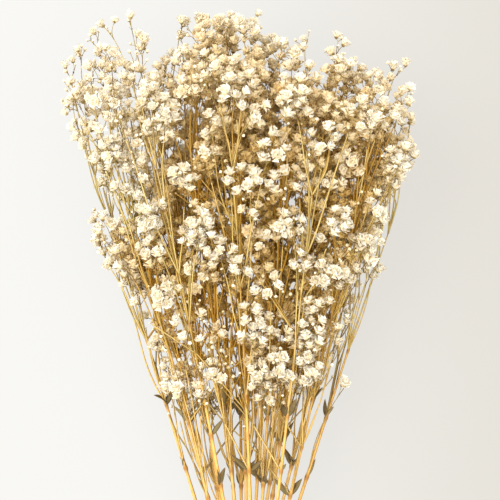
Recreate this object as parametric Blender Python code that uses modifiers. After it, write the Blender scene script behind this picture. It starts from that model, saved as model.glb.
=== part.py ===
"""A tied bunch of dried gypsophila, lying on a table with its fan of flowers towards +Y.

Units are metres, +Z is up and the table is the plane z = 0. The origin is the flat underside of
the twine tie. Each stem is one solid: its stalk, its forking branches, its narrow leaves and the
ruffled blooms at the twig ends. The stems cross the tie as a spiral, so each one is straight and
none meets another.
"""

import math
from random import Random

import bmesh
import bpy
import numpy as np

# The bundle of stalks
STEM_PITCH = 0.0032
STEM_RADIUS = 0.00138
STEM_TOP_RADIUS = 0.0009
STEM_RADIUS_SPREAD = 0.00012
FAN_SLOPE = 0.30
CUT_END_Y = -0.072
CUT_END_SPREAD = 0.007
BOW = 0.010
FULL_HEIGHT_Y = 0.35
SPIRAL_START = math.radians(-86)

# The tie: turns of twine round the stalks
TWINE_RADIUS = 0.0010
TWINE_TURNS = 5
TWINE_PITCH = 0.0019
TIE_SIDES = 18
TIE_INNER_RADIUS = 0.0085
TIE_FLAT = 0.00025
TIE_OUTER_RADIUS = TIE_INNER_RADIUS + 2 * TWINE_RADIUS
TIE_CENTRE_Z = TIE_OUTER_RADIUS - TIE_FLAT
TIE_SPAN = 0.008
LIFT = TIE_CENTRE_Z - math.hypot(2 * STEM_PITCH, FAN_SLOPE * TIE_SPAN)

# How far the bunch sinks flat under its own weight
SAG_START_Y = 0.0
SAG_FULL_Y = 0.26
SAG_KEEP = 0.50

# Outline of the flower head seen from above
HEAD_OUTLINE = (
    (-0.057, 0.182),
    (-0.083, 0.266),
    (-0.106, 0.295),
    (-0.114, 0.314),
    (-0.110, 0.326),
    (-0.090, 0.333),
    (-0.092, 0.348),
    (-0.120, 0.375),
    (-0.135, 0.400),
    (-0.133, 0.430),
    (-0.117, 0.449),
    (-0.096, 0.458),
    (-0.064, 0.458),
    (-0.056, 0.447),
    (-0.049, 0.463),
    (-0.033, 0.474),
    (-0.005, 0.470),
    (0.020, 0.455),
    (0.070, 0.449),
    (0.080, 0.438),
    (0.113, 0.431),
    (0.124, 0.395),
    (0.121, 0.371),
    (0.102, 0.326),
    (0.081, 0.266),
    (0.062, 0.213),
    (0.030, 0.196),
    (-0.033, 0.200),
)
HEAD_TOP_Y = 0.46
DOME = 0.16
SPARSE_BELOW_Y = 0.270
SPARSE_HALF_WIDTH = 0.020
SPARSE_CENTRE_X = 0.025
SPARSE_KEEP = 0.30

# Blooms and the twigs that carry them
BLOOM_COUNT = 292
BLOOM_RADIUS = 0.0080
BLOOM_RADIUS_SPREAD = 0.0009
BLOOM_SPACING = 0.0180
BLOOM_TILT = 0.45
REST_SHARE = 0.68
TWIG_RADIUS = 0.00052
ROOT_REACH = 2.2
BRANCH_RADIUS = 0.00072
FIRST_NODE_Y = 0.135
NODE_STEP = 0.046
NODE_JITTER = 0.012
TOP_NODE_SHARE = 0.74
FORK_SHARE = 0.52
FORK_ANGLE = math.radians(24)

# Leaves, in pairs at the lower nodes
LEAF_LENGTH = 0.017
LEAF_HALF_WIDTH = 0.0019
LEAF_HALF_THICKNESS = 0.00042
LEAF_PAIRS = 18

# Clearance between one stem's solids and the next
GAP = 0.0004
SHORTEST_EDGE = 0.00025
RELAX_STEPS = 140
SEED = 11


def smoothstep(low, high, value):
    """0 below low, 1 above high and a smooth S between."""
    t = min(max((value - low) / (high - low), 0.0), 1.0)
    return t * t * (3 - 2 * t)


def bundle_radius(y):
    """Distance of the outermost stalk from the middle of the fan."""
    return math.hypot(2 * STEM_PITCH, FAN_SLOPE * y)


def sag(y):
    """Share of its round height that the lying bunch keeps."""
    return 1 - (1 - SAG_KEEP) * smoothstep(SAG_START_Y, SAG_FULL_Y, abs(y))


def tie_places():
    """Nineteen places in a hexagon, as complex numbers round the middle of the tie."""
    places = []
    for q in range(-2, 3):
        for r in range(-2, 3):
            if abs(q + r) <= 2:
                places.append(STEM_PITCH * complex(q + r / 2, r * math.sqrt(3) / 2))
    turn = complex(math.cos(SPIRAL_START), math.sin(SPIRAL_START))
    return [turn * place for place in places]


def stalk_point(place, bow, y):
    """Centre of a stalk at y: a straight ruling of the spiral, plus a slight bow, flattened by sag."""
    twist = complex(1, FAN_SLOPE * y / (2 * STEM_PITCH))
    across = place * twist + bow * (max(y, 0) / FULL_HEIGHT_Y) ** 2
    return np.array((across.real, y, LIFT + sag(y) * (bundle_radius(y) + across.imag)))


def outline_distance(x, y):
    """Signed distance to the head's outline, positive inside."""
    a = np.array(HEAD_OUTLINE)
    b = np.roll(a, -1, axis=0)
    p = np.array((x, y))
    along = np.clip(((p - a) * (b - a)).sum(1) / ((b - a) ** 2).sum(1), 0, 1)
    nearest = np.hypot(*(a + along[:, None] * (b - a) - p).T).min()
    rises = (a[:, 1] > y) != (b[:, 1] > y)
    with np.errstate(divide="ignore", invalid="ignore"):
        crossing = a[:, 0] + (y - a[:, 1]) / (b[:, 1] - a[:, 1]) * (b[:, 0] - a[:, 0])
    inside = np.count_nonzero(rises & (crossing > x)) % 2 == 1
    return nearest if inside else -nearest


def head_depth(point):
    """Distance inside the head, whose outline draws in above and below its middle plane."""
    x, y, z = point
    half = sag(y) * bundle_radius(y) + BLOOM_RADIUS
    off_middle = min(abs(z - LIFT - half) / half, 1)
    draw_in = 1 - DOME * off_middle**2
    return outline_distance(x / draw_in, y / draw_in)


def section_limits(x, y):
    """Lowest and highest z of the head at a place: flat where it lies, rounded on top."""
    share = min(abs(x) / (bundle_radius(y) * 1.25 + BLOOM_RADIUS), 1)
    height = 2 * sag(y) * bundle_radius(y) + 2 * BLOOM_RADIUS
    low = 0.5 * height * (1 - (1 - share**5) ** 0.2)
    high = 0.5 * height * (1 + math.sqrt(1 - share**2))
    return low, high


def grow_stalks(random):
    """Every stalk's place in the tie, bow, radius, cut end and the heights of its nodes."""
    stalks = []
    for place in tie_places():
        bow = BOW * complex(random.uniform(-1, 1), random.uniform(-1, 1))
        top = HEAD_TOP_Y
        while head_depth(stalk_point(place, bow, top)) < 0:
            top -= 0.005
        last = FIRST_NODE_Y + (top - FIRST_NODE_Y) * TOP_NODE_SHARE
        nodes, y = [], FIRST_NODE_Y + random.uniform(-1, 1) * NODE_JITTER
        while y < last - 0.4 * NODE_STEP:
            nodes.append(y)
            y += NODE_STEP + random.uniform(-1, 1) * NODE_JITTER
        nodes.append(last)
        stalks.append(
            {
                "place": place,
                "bow": bow,
                "radius": STEM_RADIUS + random.uniform(-1, 0) * STEM_RADIUS_SPREAD,
                "cut": CUT_END_Y + random.uniform(-1, 1) * CUT_END_SPREAD,
                "nodes": nodes,
            }
        )
    return stalks


def stalk_rows(stalk):
    """Heights along a stalk where its tube has a point."""
    return [stalk["cut"], -0.03, -TIE_SPAN, TIE_SPAN, 0.03, 0.06, 0.095] + stalk["nodes"]


def scatter_blooms(random, stalks):
    """Bloom centres through the head, no two closer than BLOOM_SPACING, each with its stalk."""
    low = np.array(HEAD_OUTLINE).min(0)
    high = np.array(HEAD_OUTLINE).max(0)
    lines = np.array(
        [[stalk_point(s["place"], s["bow"], y) for y in s["nodes"]] for s in pad_nodes(stalks)]
    )
    found = []
    for _ in range(60000):
        if len(found) == BLOOM_COUNT:
            break
        x = random.uniform(low[0], high[0])
        y = random.uniform(low[1], high[1])
        height = random.random()
        radius = BLOOM_RADIUS + random.uniform(-1, 1) * BLOOM_RADIUS_SPREAD
        keep = random.random()
        floor, ceiling = section_limits(x, y)
        above = max(1.06 * height - 0.06, 0) * max(ceiling - floor - 1.8 * radius, 0)
        z = floor + REST_SHARE * radius + above
        centre = np.array((x, y, z))
        edge = abs(x - SPARSE_CENTRE_X) > SPARSE_HALF_WIDTH + 0.25 * (y - 0.2)
        if y < SPARSE_BELOW_Y and edge and keep > SPARSE_KEEP:
            continue
        if head_depth(centre) < radius:
            continue
        others = np.array([other for other, _, _ in found])
        if found and np.linalg.norm(others - centre, axis=1).min() < BLOOM_SPACING:
            continue
        if segment_distances(centre, lines) < radius + STEM_RADIUS + GAP:
            continue
        found.append((centre, radius, nearest_stalk(random, centre, stalks)))
    return found


def pad_nodes(stalks):
    """The stalks with their node lists repeated to one length."""
    most = max(len(stalk["nodes"]) for stalk in stalks)
    padded = []
    for stalk in stalks:
        nodes = stalk["nodes"]
        nodes = [nodes[0] - 0.05] + nodes + nodes[-1:] * (most - len(nodes))
        padded.append(dict(stalk, nodes=nodes))
    return padded


def segment_distances(point, lines):
    """Least distance from a point to any of the polylines."""
    a, b = lines[:, :-1].reshape(-1, 3), lines[:, 1:].reshape(-1, 3)
    span = b - a
    size = np.maximum((span**2).sum(1), 1e-12)
    along = np.clip(((point - a) * span).sum(1) / size, 0, 1)
    return np.linalg.norm(a + along[:, None] * span - point, axis=1).min()


def nearest_stalk(random, centre, stalks):
    """The stalk whose fork, some way below the bloom, is nearest, with a little chance in it."""
    costs = []
    for stalk in stalks:
        below = min(max(centre[1] - 0.07, FIRST_NODE_Y), stalk["nodes"][-1])
        share = below / centre[1]
        fork = stalk_point(stalk["place"], stalk["bow"], below)
        aim = np.array((centre[0] * share, below, centre[2] * share))
        costs.append(np.linalg.norm(aim - fork) * random.uniform(0.75, 1.3))
    return int(np.argmin(costs))


class Skeleton:
    """Points joined by round members: the stalks, twigs, leaves and blooms of the whole bunch."""

    def __init__(self):
        self.points = []
        self.fixed = []
        self.floor = []
        self.members = []
        self.twigs = []
        self.leaves = []

    def add_point(self, place, fixed, floor):
        self.points.append(np.array(place, float))
        self.fixed.append(fixed)
        self.floor.append(floor)
        return len(self.points) - 1

    def add_member(self, a, b, radius, stem):
        self.members.append((a, b, radius, stem))


def split_by_direction(start, ends):
    """Two groups of ends, by which way they lie round their mean direction from start."""
    rays = np.array([e[0] - start for e in ends])
    rays /= np.linalg.norm(rays, axis=1)[:, None]
    spread = rays - rays.mean(0)
    axis = np.linalg.svd(spread)[2][0]
    side = spread @ axis > 0
    first = [e for e, s in zip(ends, side) if s]
    second = [e for e, s in zip(ends, side) if not s]
    return (first, second) if len(first) >= len(second) else (second, first)


def fork_out(skeleton, random, stem, trail, ends, level, root):
    """Carries a twig from the end of its trail to its blooms, forking on the way.

    root says what the trail starts in: the point that this comes from, and its radius.
    """
    start = skeleton.points[trail[-1]]
    radius = max(TWIG_RADIUS, BRANCH_RADIUS * 0.86**level)
    if len(ends) == 1:
        centre, bloom_radius, _ = ends[0]
        tip = skeleton.add_point(centre, False, REST_SHARE * bloom_radius)
        skeleton.add_member(trail[-1], tip, TWIG_RADIUS, stem)
        skeleton.add_member(tip, tip, bloom_radius, stem)
        twig = {"stem": stem, "trail": trail + [tip], "bloom": bloom_radius, "root": root}
        skeleton.twigs.append(twig)
        return
    middle = np.mean([e[0] for e in ends], axis=0)
    nearest = min(np.linalg.norm(e[0] - start) for e in ends)
    reach = middle - start
    length = np.linalg.norm(reach)
    share = min(FORK_SHARE * random.uniform(0.85, 1.15), 0.72 * nearest / length)
    fork = skeleton.add_point(start + share * reach, False, 2 * radius)
    skeleton.add_member(trail[-1], fork, radius, stem)
    main, side = split_by_direction(skeleton.points[fork], ends)
    fork_out(skeleton, random, stem, trail + [fork], main, level + 1, root)
    if side:
        fork_out(skeleton, random, stem, [fork], side, level + 1, (trail[-1], radius))


def grow_stem(skeleton, random, stem, stalk, blooms):
    """Adds one stalk with its nodes, and shares its blooms out among them."""
    rows = stalk_rows(stalk)
    indices = []
    for y in rows:
        place = stalk_point(stalk["place"], stalk["bow"], y)
        indices.append(skeleton.add_point(place, True, 0))
        if len(indices) > 1:
            skeleton.add_member(indices[-2], indices[-1], stalk["radius"], stem)
    nodes = indices[-len(stalk["nodes"]) :]
    groups = {index: [] for index in nodes}
    for bloom in blooms:
        centre = bloom[0]
        beside = stalk_point(stalk["place"], stalk["bow"], min(centre[1], stalk["nodes"][-1]))
        sideways = math.hypot(centre[0] - beside[0], centre[2] - beside[2])
        wanted = centre[1] - 0.012 - sideways / math.tan(FORK_ANGLE)
        below = [i for i, y in zip(nodes, stalk["nodes"]) if y <= wanted]
        groups[below[-1] if below else nodes[0]].append(bloom)
    for index in nodes:
        if not groups[index]:
            continue
        root = (index - 1, stalk_radius(stalk, skeleton.points[index][1]))
        for half in split_by_direction(skeleton.points[index], groups[index]):
            if half:
                fork_out(skeleton, random, stem, [index], half, 1, root)
    return nodes


def add_leaf_pairs(skeleton, random, stem, node):
    """Two leaves facing each other across a node, pointing up and out."""
    turn = random.uniform(0, math.pi)
    for side in (0, math.pi):
        lean = random.uniform(0.55, 0.95)
        length = LEAF_LENGTH * random.uniform(0.7, 1.15)
        out = np.array((math.cos(turn + side), 0, math.sin(turn + side)))
        tip = skeleton.points[node] + length * (out * math.sin(lean) + np.array((0, math.cos(lean), 0)))
        end = skeleton.add_point(tip, False, 0.002)
        skeleton.add_member(node, end, LEAF_HALF_WIDTH, stem)
        skeleton.leaves.append({"stem": stem, "root": node, "tip": end, "length": length})


def closest_between(p1, q1, p2, q2):
    """Shares along each of two sets of segments where they come closest, and the vector between."""
    d1, d2, r = q1 - p1, q2 - p2, p1 - p2
    a = np.maximum((d1 * d1).sum(1), 1e-14)
    e = np.maximum((d2 * d2).sum(1), 1e-14)
    b, c, f = (d1 * d2).sum(1), (d1 * r).sum(1), (d2 * r).sum(1)
    spread = np.maximum(a * e - b * b, 1e-18)
    s = np.clip((b * f - c * e) / spread, 0, 1)
    t = np.clip((b * s + f) / e, 0, 1)
    s = np.clip((b * t - c) / a, 0, 1)
    return s, t, (p1 + s[:, None] * d1) - (p2 + t[:, None] * d2)


def bend_clear(skeleton):
    """Moves the free points until members that share no point keep GAP between them.

    Each step finds the pairs that are too close and pushes both members apart along the line
    between their nearest places, each end taking its share. Returns the pairs still too close.
    """
    points = np.array(skeleton.points)
    free = ~np.array(skeleton.fixed)
    floor = np.array(skeleton.floor)
    a, b = (np.array([m[k] for m in skeleton.members]) for k in (0, 1))
    radius = np.array([m[2] for m in skeleton.members])
    stem = np.array([m[3] for m in skeleton.members])
    i, j = np.triu_indices(len(a), 1)
    apart = (a[i] != a[j]) & (a[i] != b[j]) & (b[i] != a[j]) & (b[i] != b[j])
    loose = free[a[i]] | free[b[i]] | free[a[j]] | free[b[j]]
    i, j = i[apart & loose], j[apart & loose]
    foreign = stem[i] != stem[j]
    for step in range(RELAX_STEPS):
        if step % 10 == 0:
            middle = (points[a] + points[b]) / 2
            size = np.linalg.norm(points[a] - points[b], axis=1) / 2 + radius
            distance = np.linalg.norm(middle[i] - middle[j], axis=1)
            near = distance < size[i] + size[j] + 0.012
            ni, nj = i[near], j[near]
        s, t, gap = closest_between(points[a[ni]], points[b[ni]], points[a[nj]], points[b[nj]])
        length = np.maximum(np.linalg.norm(gap, axis=1), 1e-7)
        lack = radius[ni] + radius[nj] + 1.5 * GAP - length
        bad = lack > 0
        if not bad.any():
            break
        push = gap[bad] / length[bad, None] * (lack[bad, None] * 0.55)
        move = np.zeros_like(points)
        for index, share, sign in (
            (a[ni][bad], 1 - s[bad], 1),
            (b[ni][bad], s[bad], 1),
            (a[nj][bad], 1 - t[bad], -1),
            (b[nj][bad], t[bad], -1),
        ):
            np.add.at(move, index, sign * push * share[:, None])
        points[free] += move[free]
        points[free, 2] = np.maximum(points[free, 2], floor[free])
    skeleton.points = list(points)
    s, t, gap = closest_between(points[a[i]], points[b[i]], points[a[j]], points[b[j]])
    short = (np.linalg.norm(gap, axis=1) < radius[i] + radius[j] + GAP) & foreign
    return [(int(x), int(y)) for x, y in zip(i[short], j[short])]


def drop_crossing(skeleton, crossing):
    """Leaves out the twigs and leaves that still cross another stem."""
    for i, j in crossing:
        for member in (skeleton.members[j], skeleton.members[i]):
            tips = {member[0], member[1]}
            held = [w for w in skeleton.twigs if tips & set(w["trail"][1:])]
            blades = [v for v in skeleton.leaves if v["tip"] in tips]
            if held or blades:
                skeleton.twigs = [w for w in skeleton.twigs if w not in held]
                skeleton.leaves = [v for v in skeleton.leaves if v not in blades]
                break


def grow_bunch():
    """The whole skeleton: stalks, their blooms and leaves, bent clear of each other."""
    random = Random(SEED)
    stalks = grow_stalks(random)
    blooms = scatter_blooms(random, stalks)
    skeleton = Skeleton()
    nodes = []
    for stem, stalk in enumerate(stalks):
        own = [bloom for bloom in blooms if bloom[2] == stem]
        nodes.append(grow_stem(skeleton, random, stem, stalk, own))
    for pair in range(LEAF_PAIRS):
        stem = pair % len(stalks)
        add_leaf_pairs(skeleton, random, stem, nodes[stem][random.randint(0, 1)])
    crossing = bend_clear(skeleton)
    drop_crossing(skeleton, crossing)
    return stalks, skeleton


def side_vectors(direction):
    """Two unit vectors square to a direction and to each other, the first one level."""
    direction = direction / np.linalg.norm(direction)
    first = np.cross((0, 0, 1), direction)
    if np.linalg.norm(first) < 0.05:
        first = np.array((1.0, 0, 0))
    first = first / np.linalg.norm(first)
    return first, np.cross(direction, first)


def ring(centre, direction, radius, count, start=0.0):
    """Points of a regular ring square to a direction."""
    u, v = side_vectors(direction)
    angles = [start + 2 * math.pi * k / count for k in range(count)]
    return [centre + radius * (u * math.cos(a) + v * math.sin(a)) for a in angles]


def bridge(bm, low, high):
    """Faces between two loops: equal ones, one twice or half the other, or one a single point."""
    count, other = len(low), len(high)
    for k in range(max(count, other)):
        if other == 1:
            bm.faces.new((low[k], low[(k + 1) % count], high[0]))
        elif count == 1:
            bm.faces.new((low[0], high[(k + 1) % other], high[k]))
        elif other == count:
            n = (k + 1) % count
            bm.faces.new((low[k], low[n], high[n], high[k]))
        elif other == 2 * count and k % 2 == 0:
            bm.faces.new((low[k // 2], high[k], high[k - 1]))
            bm.faces.new((low[k // 2], high[k + 1], high[k]))
            bm.faces.new((low[k // 2], low[(k // 2 + 1) % count], high[k + 1]))
        elif count == 2 * other and k % 2 == 0:
            bm.faces.new((low[k], low[k + 1], high[k // 2]))
            bm.faces.new((low[k + 1], low[(k + 2) % count], high[k // 2]))
            bm.faces.new((high[k // 2], low[(k + 2) % count], high[(k // 2 + 1) % other]))


def skin_rings(bm, rings):
    """A closed skin over rings of points; a first or last ring of one point is a tip."""
    loops = [[bm.verts.new(p) for p in points] for points in rings]
    for low, high in zip(loops, loops[1:]):
        bridge(bm, low, high)
    for end in (loops[0], loops[-1]):
        if len(end) > 1:
            bm.faces.new(end)
    bmesh.ops.recalc_face_normals(bm, faces=bm.faces)
    bmesh.ops.triangulate(bm, faces=bm.faces)


def mesh_object(name, rings, collection):
    """A mesh object in a collection, skinned over rings."""
    bm = bmesh.new()
    skin_rings(bm, rings)
    mesh = bpy.data.meshes.new(name)
    bm.to_mesh(mesh)
    bm.free()
    made = bpy.data.objects.new(name, mesh)
    collection.objects.link(made)
    return made


def sink_root(points, before, parent):
    """Where a twig's tip is sunk into its parent, and how far along it stands clear of that.

    The tip lies in the middle of the parent, a little short of the fork, so that the twig comes
    out through the parent's side before the fork.
    """
    inward = (points[0] - before) / np.linalg.norm(points[0] - before)
    tip = points[0] - ROOT_REACH * parent * inward
    out = points[1] - tip
    length = np.linalg.norm(out)
    slant = np.linalg.norm(np.cross(inward, out)) / length
    clear = min(parent / max(slant, 0.2) + 0.0003, 0.45 * length)
    return tip, tip + clear / length * out


def twig_rings(points, bloom_radius, before, parent, random):
    """Three-sided rings along a twig, from its sunk tip, that open into a ruffled bloom.

    The bloom is a cone of calyx, a wide uneven tier of six petal tips, an inner tier of three
    and a dimple, and it nods a little off the line of its twig.
    """
    tip, clear = sink_root(points, before, parent)
    points = [tip] + points[1:]
    steps = [points[k + 1] - points[k] for k in range(len(points) - 1)]
    steps = [step / np.linalg.norm(step) for step in steps]
    rings = [[tip], ring(clear, steps[0], BRANCH_RADIUS, 3)]
    for k in range(1, len(points) - 1):
        rings.append(ring(points[k], steps[k - 1] + steps[k], BRANCH_RADIUS, 3))
    centre, along = points[-1], steps[-1]
    spin = random.uniform(-0.5, 0.5)
    rings.append(ring(centre - 0.62 * bloom_radius * along, along, 1.3 * TWIG_RADIUS, 3, spin))
    along = along + BLOOM_TILT * np.array([random.uniform(-1, 1) for _ in range(3)])
    along = along / np.linalg.norm(along)
    lower = ring(np.zeros(3), along, bloom_radius, 6, spin)
    upper = ring(np.zeros(3), along, bloom_radius, 3, spin + math.pi / 3)
    for k, out in enumerate(lower):
        rise = random.uniform(-0.22, 0.12) * bloom_radius
        lower[k] = centre + random.uniform(0.80, 0.99) * out + rise * along
    for k, out in enumerate(upper):
        rise = random.uniform(0.38, 0.58) * bloom_radius
        upper[k] = centre + random.uniform(0.50, 0.72) * out + rise * along
    rings += [lower, upper, [centre + random.uniform(0.15, 0.55) * bloom_radius * along]]
    return rings


def leaf_rings(root, tip, length):
    """Diamond sections from a narrow foot through a broad middle to a point, arched a little."""
    along = (tip - root) / np.linalg.norm(tip - root)
    u, v = side_vectors(along)
    rings = []
    for share, width, arch in ((0.0, 0.35, 0.0), (0.42, 1.0, 0.06), (0.75, 0.62, 0.04)):
        centre = root + along * length * share + v * arch * length
        across = u * LEAF_HALF_WIDTH * width
        thick = v * LEAF_HALF_THICKNESS
        rings.append([centre + across, centre + thick, centre - across, centre - thick])
    rings.append([tip])
    return rings


def make_tube(name, route, radii):
    """A round tube along a route, from a bevelled curve that is then made a mesh."""
    curve = bpy.data.curves.new(name, "CURVE")
    curve.dimensions = "3D"
    curve.bevel_depth = 1.0
    curve.bevel_resolution = 1
    curve.use_fill_caps = True
    spline = curve.splines.new("POLY")
    spline.points.add(len(route) - 1)
    for point, place, radius in zip(spline.points, route, radii):
        point.co = (*place, 1)
        point.radius = radius
    guide = bpy.data.objects.new(name + "_guide", curve)
    bpy.context.scene.collection.objects.link(guide)
    bpy.context.view_layer.update()
    graph = bpy.context.evaluated_depsgraph_get()
    mesh = bpy.data.meshes.new_from_object(guide.evaluated_get(graph))
    bm = bmesh.new()
    bm.from_mesh(mesh)
    bmesh.ops.remove_doubles(bm, verts=bm.verts, dist=0.00002)
    bmesh.ops.recalc_face_normals(bm, faces=bm.faces)
    bm.to_mesh(mesh)
    bm.free()
    made = bpy.data.objects.new(name, mesh)
    made.matrix_world = guide.matrix_world
    bpy.data.objects.remove(guide)
    return made


def stalk_radius(stalk, y):
    """A stalk thins steadily from the tie to the top of the head."""
    thinning = min(max(y / FULL_HEIGHT_Y, 0), 1)
    return stalk["radius"] + thinning * (STEM_TOP_RADIUS - stalk["radius"])


def apply_modifiers(target):
    """Replaces the target's mesh with its evaluated one."""
    bpy.context.view_layer.update()
    graph = bpy.context.evaluated_depsgraph_get()
    mesh = bpy.data.meshes.new_from_object(target.evaluated_get(graph))
    target.modifiers.clear()
    target.data = mesh


def join_collection(target, repeats):
    """Fuses every object of a collection into the target with one Boolean union."""
    union = target.modifiers.new("Repeats", "BOOLEAN")
    union.operation = "UNION"
    union.operand_type = "COLLECTION"
    union.collection = repeats
    union.solver = "MANIFOLD"
    apply_modifiers(target)
    for member in list(repeats.objects):
        bpy.data.objects.remove(member)
    bpy.data.collections.remove(repeats)


def tidy_joints(mesh):
    """Takes out the flat seams and the very short edges that a union leaves at the joints.

    A length that would open the surface is halved and tried again on the untouched mesh.
    """
    for halving in range(4):
        bm = bmesh.new()
        bm.from_mesh(mesh)
        bmesh.ops.dissolve_limit(bm, angle_limit=math.radians(2), verts=bm.verts, edges=bm.edges)
        bmesh.ops.triangulate(bm, faces=bm.faces)
        bmesh.ops.dissolve_degenerate(bm, dist=SHORTEST_EDGE / 2**halving, edges=bm.edges)
        bmesh.ops.triangulate(bm, faces=bm.faces)
        closed = all(e.is_manifold for e in bm.edges) and all(v.is_manifold for v in bm.verts)
        if closed:
            bm.to_mesh(mesh)
        bm.free()
        if closed:
            return


def press_flat(target, table):
    """Cuts away what would reach below the table top."""
    cut = target.modifiers.new("Table", "BOOLEAN")
    cut.operation = "DIFFERENCE"
    cut.object = table
    cut.solver = "MANIFOLD"
    apply_modifiers(target)


def make_material(name, colour, roughness):
    material = bpy.data.materials.new(name)
    material.use_nodes = True
    shader = material.node_tree.nodes["Principled BSDF"]
    shader.inputs["Base Color"].default_value = (*colour, 1)
    shader.inputs["Roughness"].default_value = roughness
    shader.inputs["Metallic"].default_value = 0
    return material


def move_to(item, collection):
    """Takes an object out of the collections it is in and puts it in this one."""
    for holder in list(item.users_collection):
        holder.objects.unlink(item)
    collection.objects.link(item)


def make_table_cutter(collection):
    """A slab whose top is the table, used only to flatten what rests on it."""
    bpy.ops.mesh.primitive_cube_add(size=1, location=(0, 0.2, -0.02))
    table = bpy.context.object
    table.name = "table_cutter"
    table.scale = (0.6, 0.8, 0.04)
    bpy.ops.object.transform_apply(location=True, scale=True)
    table.hide_render = True
    table.display_type = "WIRE"
    move_to(table, collection)
    return table


def make_stem(stem, stalk, skeleton, parts, table, material):
    """One node: the stalk fused with its twigs, blooms and leaves."""
    name = f"stem_{stem + 1:02d}"
    rows = stalk_rows(stalk)
    route = [stalk_point(stalk["place"], stalk["bow"], y) for y in rows]
    made = make_tube(name, route, [stalk_radius(stalk, y) for y in rows])
    parts.objects.link(made)
    repeats = bpy.data.collections.new(name + "_repeats")
    bpy.context.scene.collection.children.link(repeats)
    random = Random(SEED + stem)
    for k, twig in enumerate(w for w in skeleton.twigs if w["stem"] == stem):
        points = [skeleton.points[index] for index in twig["trail"]]
        before, parent = skeleton.points[twig["root"][0]], twig["root"][1]
        rings = twig_rings(points, twig["bloom"], before, parent, random)
        mesh_object(f"{name}_twig_{k}", rings, repeats)
    for k, leaf in enumerate(v for v in skeleton.leaves if v["stem"] == stem):
        root, tip = skeleton.points[leaf["root"]], skeleton.points[leaf["tip"]]
        mesh_object(f"{name}_leaf_{k}", leaf_rings(root, tip, leaf["length"]), repeats)
    join_collection(made, repeats)
    tidy_joints(made.data)
    press_flat(made, table)
    made.data.materials.append(material)


def tie_profile():
    """Corners of a cut through the turns of twine, from the inner top edge down the outside."""
    half = TWINE_TURNS * TWINE_PITCH / 2
    corners = [(TIE_INNER_RADIUS, half), (TIE_INNER_RADIUS + 0.9 * TWINE_RADIUS, half)]
    for turn in range(TWINE_TURNS):
        middle = half - (turn + 0.5) * TWINE_PITCH
        for share in (0.45, -0.45):
            corners.append((TIE_OUTER_RADIUS, middle + share * TWINE_RADIUS))
        corners.append((TIE_OUTER_RADIUS - 1.1 * TWINE_RADIUS, middle - TWINE_PITCH / 2))
    corners.append((TIE_INNER_RADIUS, -half))
    return corners


def make_ring(parts):
    """The turns of twine as one ring round the Y axis, from its profile and a Screw modifier."""
    bm = bmesh.new()
    corners = [bm.verts.new((radius, 0, height)) for radius, height in tie_profile()]
    for k in range(len(corners)):
        bm.edges.new((corners[k - 1], corners[k]))
    mesh = bpy.data.meshes.new("twine_tie")
    bm.to_mesh(mesh)
    bm.free()
    made = bpy.data.objects.new("twine_tie", mesh)
    parts.objects.link(made)
    screw = made.modifiers.new("Turn", "SCREW")
    screw.axis = "Z"
    screw.angle = 2 * math.pi
    screw.steps = TIE_SIDES
    screw.render_steps = TIE_SIDES
    screw.use_merge_vertices = True
    screw.merge_threshold = 0.00001
    made.rotation_euler = (math.radians(90), math.radians(180 / TIE_SIDES), 0)
    made.location = (0, 0, TIE_CENTRE_Z)
    apply_modifiers(made)
    bpy.context.view_layer.update()
    made.data.transform(made.matrix_world)
    made.matrix_world.identity()
    return made


def make_knot(repeats):
    """The knot on top of the tie and the two tails that leave it."""
    top = TIE_CENTRE_Z + TIE_OUTER_RADIUS
    bpy.ops.mesh.primitive_uv_sphere_add(segments=10, ring_count=6, radius=1)
    knot = bpy.context.object
    knot.scale = (0.0030, 0.0026, 0.0019)
    knot.location = (0.0005, 0.0004, top + 0.0004)
    bpy.ops.object.transform_apply(location=True, rotation=True, scale=True)
    move_to(knot, repeats)
    for side, reach in ((1, 0.019), (-1, 0.014)):
        route = []
        for step in range(6):
            share = step / 5
            route.append(
                (
                    side * (0.0006 + reach * share),
                    0.0004 + 0.010 * share**1.5,
                    top + 0.0006 + 0.0030 * math.sin(math.pi * share) - 0.0018 * share,
                )
            )
        tail = make_tube(f"tail_{side}", route, [TWINE_RADIUS * 0.9] * len(route))
        repeats.objects.link(tail)


def make_tie(parts, table, material):
    """The twine tie: turns, knot and tails fused into one node."""
    made = make_ring(parts)
    repeats = bpy.data.collections.new("tie_repeats")
    bpy.context.scene.collection.children.link(repeats)
    make_knot(repeats)
    join_collection(made, repeats)
    press_flat(made, table)
    made.data.materials.append(material)


def main():
    for old in list(bpy.data.objects):
        bpy.data.objects.remove(old)
    parts = bpy.data.collections.new("gypsophila_bunch")
    cutters = bpy.data.collections.new("cutters")
    bpy.context.scene.collection.children.link(parts)
    bpy.context.scene.collection.children.link(cutters)
    table = make_table_cutter(cutters)
    straw = make_material("dried_stem", (0.72, 0.55, 0.30), 0.75)
    stalks, skeleton = grow_bunch()
    for stem, stalk in enumerate(stalks):
        make_stem(stem, stalk, skeleton, parts, table, straw)
    make_tie(parts, table, make_material("twine", (0.50, 0.37, 0.22), 0.85))


if __name__ == "__main__":
    main()
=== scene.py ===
"""A tied bunch of dried gypsophila lying on a pale surface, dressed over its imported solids.

The growth rule is the one that the solids follow: stalks that cross the tie as a spiral, forks
every few centimetres and a flower tuft at each twig end. Each tuft becomes a spray of small
double blooms and buds on hair-thin stalks of their own.
"""

import math
from functools import lru_cache
from random import Random

import bpy
import numpy as np

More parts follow.
